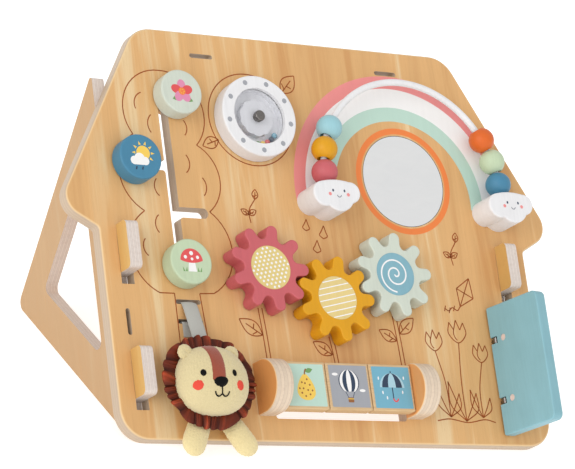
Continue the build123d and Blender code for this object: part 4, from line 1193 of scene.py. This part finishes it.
def raise_tufts(piece, height):
    """Move each point along its normal by a sum of short waves in directions spread over a ball."""
    mesh = piece.data
    places, normals = np.empty((2, 3 * len(mesh.vertices)), np.float32)
    mesh.vertices.foreach_get("co", places)
    mesh.vertices.foreach_get("normal", normals)
    places, normals = places.reshape(-1, 3), normals.reshape(-1, 3)
    number = np.arange(TUFT_WAVES)
    rise = 2 * (number + 0.5) / TUFT_WAVES - 1
    level = np.sqrt(1 - rise ** 2)
    headings = np.stack([level * np.cos(2.4 * number), level * np.sin(2.4 * number), rise])
    tuft = np.sin(places @ (2 * np.pi / TUFT_LENGTH * headings) + number ** 2).sum(1) / math.sqrt(TUFT_WAVES)
    mesh.vertices.foreach_set("co", (places + height * tuft[:, None] * normals).ravel())
    mesh.update()


def lion_body(house):
    """Head, ears and legs in short plush."""
    # Head and legs wear lit and shaded copies of one plush: painted light and shade
    fur = plush("plush_fur", house.lion.fur, FUR_PILE)
    limb = plush("plush_limb", house.lion.limb, FUR_PILE)
    parts = [("lion_head_plush", head_points(170, 320), "lion_head", fur)]
    for name, top_x, foot_x, ear_x in (("left", -2.0, -20.2, -20.7), ("right", 17.4, 31.2, 17.6)):
        ear = np.array([LION[0] + ear_x, LION[1] + 19.8, 22.6])
        parts.append((f"lion_ear_plush_{name}", ear_points(ear), f"lion_ear_{name}", fur))
        parts.append((f"lion_leg_plush_{name}", leg_points(top_x, foot_x), f"lion_leg_{name}", limb))
    for name, points, node, cloth in parts:
        faces = grid_faces(*points.shape[:2], True)
        piece = add_piece(name, points, faces, [cloth], "lion", "lion_plush", closed=True)
        raise_tufts(piece, house.lion.pile)
        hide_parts(node)


def lion_mane(house):
    """Gathered frill round the head: two layers joined at a soft outer edge, in folds between sharp creases.

    The angle round the head, made to wander, counts the folds. Across each fold the height is a sine that
    rises steeply and falls slowly, of a size that differs from fold to fold. Near the seam smaller gathers
    join in.
    """
    rows, columns = 40, 1300
    section, angle = np.meshgrid(full_turn(rows), full_turn(columns), indexing="ij")
    share = (1 + np.cos(section)) / 2
    wander = 2.6 * np.sin(3 * angle + 0.9) + 1.5 * np.sin(5 * angle + 2.0) + 0.6 * np.sin(9 * angle + 0.5)
    wander += share * (2.4 * np.sin(4 * angle + 0.4) + 1.6 * np.sin(7 * angle))
    turns = (house.lion.ruffles * angle + wander) / (2 * np.pi)
    number = np.floor(turns) % house.lion.ruffles
    within = turns - np.floor(turns)
    size = 0.74 + 0.26 * np.sin(4.1 * number + 0.7)
    fold = size * np.sin(np.pi * within ** 0.6)
    gather = np.abs(np.sin(2.5 * np.pi * turns + 0.5)) ** 0.7
    crest = fold * (0.45 + 0.55 * share) + 0.35 * gather * (1 - share)
    pleat = np.sin(7 * np.pi * turns + 2.5 * share + np.sin(5 * angle))
    sway = house.lion.ruffle / MM * share * np.sin(2.3 * number + 1.0) * np.sin(np.pi * within)
    width = -2.0 + share * (10.4 + 2.0 * fold + 0.6 * np.sin(3 * angle + 0.3) + 0.4 * np.sin(8 * angle))
    depth = (0.4 + 2.6 * crest) * np.sin(section) + sway
    outline = LION + (HEAD_HALF + width[..., None]) * spokes(angle)
    points = np.concatenate([outline, MANE_MIDDLE + depth[..., None]], -1)
    faces = grid_faces(rows, columns, True, True)
    cloth = satin("mane_satin", house.lion.mane)
    # The crest is kept as fold and the pleat as pleat, for the satin's painted shade in creases and pleats
    # and its painted highlights on crests
    piece = add_piece("lion_mane_satin", points, faces, [cloth], "lion", "mane_felt", closed=True,
                      fold=crest, pleat=pleat)
    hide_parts("lion_mane")


def ribbon_points(route, rows, bow, cup):
    """Ribbon: a thin rounded strip carried along a route of y and n.

    Towards the middle of its run it bows sideways and its edges cup back, both by half a sine wave.
    """
    path = through(route, rows)
    section = spokes(full_turn(28))
    across, thick = (np.sign(section) * np.abs(section) ** 0.5).T
    eased = np.sin(np.linspace(0.0, np.pi, rows))[:, None]
    lift = RIBBON_HALF_THICKNESS * thick + cup * eased * across ** 2
    yn = path[:, None, :] + lift[..., None] * left_of(path)[:, None, :]
    x = LION[0] + RIBBON_HALF_WIDTH * across + bow * eased
    along = MM * length_along(path)
    stored = {"along": np.broadcast_to(along[:, None], x.shape), "across": np.broadcast_to(across, x.shape)}
    return np.concatenate([x[..., None], yn], -1), stored, along[-1]


def lion_strap(house):
    """Strap: the run that hangs the lion from the upper slot, and the loop behind with its front tail."""
    cloth = woven_ribbon("strap_ribbon", house.lion.ribbon)
    run = ((104.0, -7.0), (104.0, -3.0), (103.5, 0.4), (100.5, 2.2), (92.0, 5.0), (80.0, 9.0), (69.0, 11.8),
           (59.0, 12.0))
    loop = ((104.0, -4.0), (104.0, -9.0), (102.4, -11.0), (96.5, -11.3), (90.6, -11.0), (89.0, -9.0),
            (89.0, -4.0), (88.6, -0.4), (86.6, 0.5), (82.0, 0.5), (77.0, 0.5))
    for name, route, rows, node, bow, cup in (("lion_strap_run", run, 70, "lion_strap", 1.4, 0.9),
                                              ("lion_strap_back", loop, 90, "lion_strap_loop", 0.0, 0.0)):
        points, stored, total = ribbon_points(route, rows, bow, cup)
        columns = points.shape[1]
        faces = grid_faces(rows, columns, True).tolist()
        faces += [list(range(columns))[::-1], list(range((rows - 1) * columns, rows * columns))]
        body = "house" if node == "lion_strap_loop" else None
        piece = add_piece(name, points, faces, [cloth], body, "ribbon", closed=True, **stored)
        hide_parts(node)
        if body is None:
            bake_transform(piece)


# Studio


CAMERA_PLACE = (-1.2557, -1.7497, 0.9380)
CAMERA_RIGHT = (0.8439, -0.4586, 0.2794)
CAMERA_DOWN = (0.0512, -0.4492, -0.8920)
CAMERA_AHEAD = (0.5345, 0.7668, -0.3555)
SENSOR_WIDTH = 36.0
FLOOR_HALF = 14.0
FLOOR_STEPS = 9
KEY_PLACE = (-2.6, -1.0, 1.4)
FILL_PLACE = (-0.8, -3.0, 0.6)


def studio(house):
    """Camera from its three directions, pale floor, even sky, a soft key light and a softer fill."""
    scene = bpy.context.scene
    scene.view_settings.view_transform = "Standard"
    lens = bpy.data.cameras.new("camera")
    lens.lens = house.studio.lens
    lens.sensor_fit = "HORIZONTAL"
    lens.sensor_width = SENSOR_WIDTH
    lens.clip_end = 100.0
    camera = bpy.data.objects.new("camera", lens)
    turn = np.array([CAMERA_RIGHT, np.negative(CAMERA_DOWN), np.negative(CAMERA_AHEAD)]).T
    camera.matrix_world = Matrix.Translation(CAMERA_PLACE) @ Matrix(turn.tolist()).to_4x4()
    scene.collection.objects.link(camera)
    scene.camera = camera

    step = np.linspace(-FLOOR_HALF, FLOOR_HALF, FLOOR_STEPS)
    x, y = np.meshgrid(step, step)
    places = np.stack([x, y, np.zeros_like(x)], -1).reshape(-1, 3)
    mesh = bpy.data.meshes.new("studio_floor")
    mesh.from_pydata(places.tolist(), [], grid_faces(FLOOR_STEPS, FLOOR_STEPS).tolist())
    mesh.materials.append(studio_floor("floor", house.studio.floor, house.studio.glow))
    floor = bpy.data.objects.new("studio_floor", mesh)
    scene.collection.objects.link(floor)

    world = bpy.data.worlds.new("studio_sky")
    world.use_nodes = True
    background = world.node_tree.nodes["Background"]
    background.inputs["Color"].default_value = WHITE
    background.inputs["Strength"].default_value = house.studio.sky
    scene.world = world
    for name, place, energy, angle in (
            ("key_light", KEY_PLACE, house.studio.key, house.studio.key_angle),
            ("fill_light", FILL_PLACE, house.studio.fill, house.studio.fill_angle)):
        sun = bpy.data.lights.new(name, "SUN")
        sun.energy = energy
        sun.angle = angle
        lamp = bpy.data.objects.new(name, sun)
        turn = Vector(place).to_track_quat("Z", "Y").to_matrix().to_4x4()
        lamp.matrix_world = Matrix.Translation(place) @ turn
        scene.collection.objects.link(lamp)


# Operators, one for each group of like pieces


class BUSY_HOUSE_OT_wood(bpy.types.Operator):
    """Bare plywood and turned beech"""
    bl_idname = "busy_house.wood"
    bl_label = "Wood"

    def execute(self, context):
        wood = context.scene.busy_house.wood
        # The board's plies take the darker edge tone, painted shade on its cut edges
        panel = plywood("plywood_panel", wood, OUT, "Z", wood.ply, 0.0, wood.honey, wood.board_edge)
        # Legs: mostly the dull tint, partly painted shade against the key light
        leg = plywood("plywood_leg", wood, SIDEWAYS, "X", wood.ply, 0.8, wood.hook, wood.edge)
        bracket = plywood("plywood_bracket", wood, SIDEWAYS, "X", wood.thick_ply, 0.85, wood.warm, wood.rim)
        dress(panel, "front_panel")
        dress(leg, "leg_left", "leg_right")
        dress(bracket, "bracket_left", "bracket_right")
        dress(dowel("beech_tile", wood.dull, wood.pale), "tile_left", "tile_middle", "tile_right")
        dress(dowel("beech_dowel", wood.deep, wood.pale), "tile_rod", "gear_axles",
              *(f"knob_retainer_{tone}" for tone in KNOBS))
        return {"FINISHED"}


class BUSY_HOUSE_OT_paint(bpy.types.Operator):
    """Painted gears, beads, knobs, clouds, door and rattle"""
    bl_idname = "busy_house.paint"
    bl_label = "Paint"

    def execute(self, context):
        paints = context.scene.busy_house.paints
        painted = {
            "white": ("cloud_left", "cloud_right", "rattle_rim", "rainbow_wire", "gear_washers",
                      "rattle_washers"),
            # The cup's lightened paint is painted light against the shade inside the rattle
            "ash": ("rattle_cup",), "pearl": ("rattle_hub",),
            "teal": ("door_panel",), "shell": ("door_rivets",),
            "red": ("gear_red", "bead_red"), "yellow": ("gear_yellow", "bead_yellow"),
            "mint": ("gear_mint", "knob_mint"), "blue": ("knob_blue", "bead_blue"),
            "green": ("knob_green", "bead_green"),
            "light_blue": ("bead_light_blue",), "orange": ("bead_orange",),
            "straw": ("gear_face_red",), "butter": ("gear_face_yellow",), "sky": ("gear_face_mint",),
        }
        for tone, nodes in painted.items():
            dress(lacquer(f"paint_{tone}", getattr(paints, tone)), *nodes)
        return {"FINISHED"}


class BUSY_HOUSE_OT_hardware(bpy.types.Operator):
    """Screws, pins, mirror, clear pane and shot"""
    bl_idname = "busy_house.hardware"
    bl_label = "Hardware"

    def execute(self, context):
        prints = context.scene.busy_house.prints
        dress(steel("plated_steel", PLATED_TONE), "cloud_screws", "gear_axle_screws", "bracket_screws",
              "rattle_nut", *(f"knob_screw_{tone}" for tone in KNOBS))
        dress(steel("dark_steel", DARK_TONE), "rattle_bolt", "door_eyes", "door_pins")
        dress(mirror_sheet("mirror_sheet"), "mirror_disc")
        dress(clear_pane("acrylic_pane"), "rattle_pane")
        dress(shot_balls("shot_balls", prints, face_of("rattle_rim")), "rattle_shot")
        return {"FINISHED"}


class BUSY_HOUSE_OT_rainbow(bpy.types.Operator):
    """Painted rainbow and the ring round the mirror"""
    bl_idname = "busy_house.rainbow"
    bl_label = "Rainbow"

    def execute(self, context):
        inks = inks_of(context.scene.busy_house)
        rainbow_bands().lay("rainbow_bands", BOARD_FOOT, "house", "white_paint", inks)
        return {"FINISHED"}


class BUSY_HOUSE_OT_burnt_lines(bpy.types.Operator):
    """Tree, leaves, stems and other lines burnt into the panel"""
    bl_idname = "busy_house.burnt_lines"
    bl_label = "Burnt lines"

    def execute(self, context):
        burnt_lines(context.scene.busy_house)
        return {"FINISHED"}


class BUSY_HOUSE_OT_pictures(bpy.types.Operator):
    """Printed gear faces, cloud faces, knob pictures and rattle marks"""
    bl_idname = "busy_house.pictures"
    bl_label = "Pictures"

    def execute(self, context):
        inks = inks_of(context.scene.busy_house)
        for tone, drawing in (("red", gear_dots()), ("yellow", gear_stripes()), ("mint", gear_spiral())):
            middle = face_of(f"gear_face_{tone}")
            drawing.lay(f"gear_picture_{tone}", middle, f"gear_{tone}", "white_paint", inks)
        for side in ("left", "right"):
            middle = face_of(f"cloud_{side}") + CLOUD_SHIFT
            cloud_face().lay(f"cloud_face_{side}", middle, "house", "white_paint", inks)
        for tone, drawing in zip(KNOBS, (flower_picture(), sun_picture(), toadstool_picture())):
            knob = f"knob_{tone}"
            drawing.lay(f"knob_picture_{tone}", face_of(knob), knob, f"{tone}_paint", inks)
        rattle_marks().lay("rattle_marks", face_of("rattle_rim"), "rattle", "white_paint", inks)
        return {"FINISHED"}


class BUSY_HOUSE_OT_tiles(bpy.types.Operator):
    """Printed pictures on both faces of the tiles"""
    bl_idname = "busy_house.tiles"
    bl_label = "Tiles"

    def execute(self, context):
        inks = inks_of(context.scene.busy_house)
        for name, ground, picture, back_ground, corners in (
                ("left", "mint", pear_picture, "sun", 0), ("middle", "grey", balloon_picture, "pink", 5),
                ("right", "sky", umbrella_picture, "orange", 4)):
            tile = f"tile_{name}"
            low, high = reach_of(tile)
            half_width, half_height, _ = (high - low) / 2 - TILE_MARGIN
            outline = box_outline(half_width, half_height, TILE_CORNER)
            front, back = Drawing(), Drawing()
            front.fill(outline, ground)
            picture(front)
            front.lay(f"tile_picture_{name}", face_of(tile), tile, "panel_wood", inks)
            back.fill(outline, back_ground)
            tile_sign(back, corners, "white")
            behind = face_of(tile) - (0.0, 0.0, high[2] - low[2])
            back.lay(f"tile_back_{name}", behind, tile, "panel_wood", inks, back=True)
        return {"FINISHED"}


class BUSY_HOUSE_OT_lion(bpy.types.Operator):
    """Plush head, ears, legs and stitched face"""
    bl_idname = "busy_house.lion"
    bl_label = "Lion"

    def execute(self, context):
        lion_body(context.scene.busy_house)
        lion_face(context.scene.busy_house)
        return {"FINISHED"}


class BUSY_HOUSE_OT_mane(bpy.types.Operator):
    """Gathered satin mane"""
    bl_idname = "busy_house.mane"
    bl_label = "Mane"

    def execute(self, context):
        lion_mane(context.scene.busy_house)
        return {"FINISHED"}


class BUSY_HOUSE_OT_strap(bpy.types.Operator):
    """Woven strap of the lion"""
    bl_idname = "busy_house.strap"
    bl_label = "Strap"

    def execute(self, context):
        lion_strap(context.scene.busy_house)
        return {"FINISHED"}


class BUSY_HOUSE_OT_studio(bpy.types.Operator):
    """Camera, floor and light"""
    bl_idname = "busy_house.studio"
    bl_label = "Studio"

    def execute(self, context):
        studio(context.scene.busy_house)
        return {"FINISHED"}


STEPS = (BUSY_HOUSE_OT_wood, BUSY_HOUSE_OT_paint, BUSY_HOUSE_OT_hardware, BUSY_HOUSE_OT_rainbow,
         BUSY_HOUSE_OT_burnt_lines, BUSY_HOUSE_OT_pictures, BUSY_HOUSE_OT_tiles, BUSY_HOUSE_OT_lion,
         BUSY_HOUSE_OT_mane, BUSY_HOUSE_OT_strap, BUSY_HOUSE_OT_studio)


class BUSY_HOUSE_PT_panel(bpy.types.Panel):
    """Steps that dress the busy house"""
    bl_label = "Busy house"
    bl_idname = "BUSY_HOUSE_PT_panel"
    bl_space_type = "VIEW_3D"
    bl_region_type = "UI"
    bl_category = "Busy house"

    def draw(self, context):
        for step in STEPS:
            self.layout.operator(step.bl_idname)


CLASSES = (BusyHousePaints, BusyHousePrints, BusyHouseWood, BusyHouseLion, BusyHouseStudio, BusyHouse,
           *STEPS, BUSY_HOUSE_PT_panel)


def register():
    """Register the classes and hang the settings on the scene."""
    for kind in CLASSES:
        bpy.utils.register_class(kind)
    bpy.types.Scene.busy_house = PointerProperty(type=BusyHouse)


def unregister():
    """Take the settings and classes away again."""
    del bpy.types.Scene.busy_house
    for kind in reversed(CLASSES):
        bpy.utils.unregister_class(kind)


def main():
    """Run every step in order."""
    register()
    for step in STEPS:
        getattr(bpy.ops.busy_house, step.bl_idname.split(".")[1])()


if __name__ == "__main__":
    main()
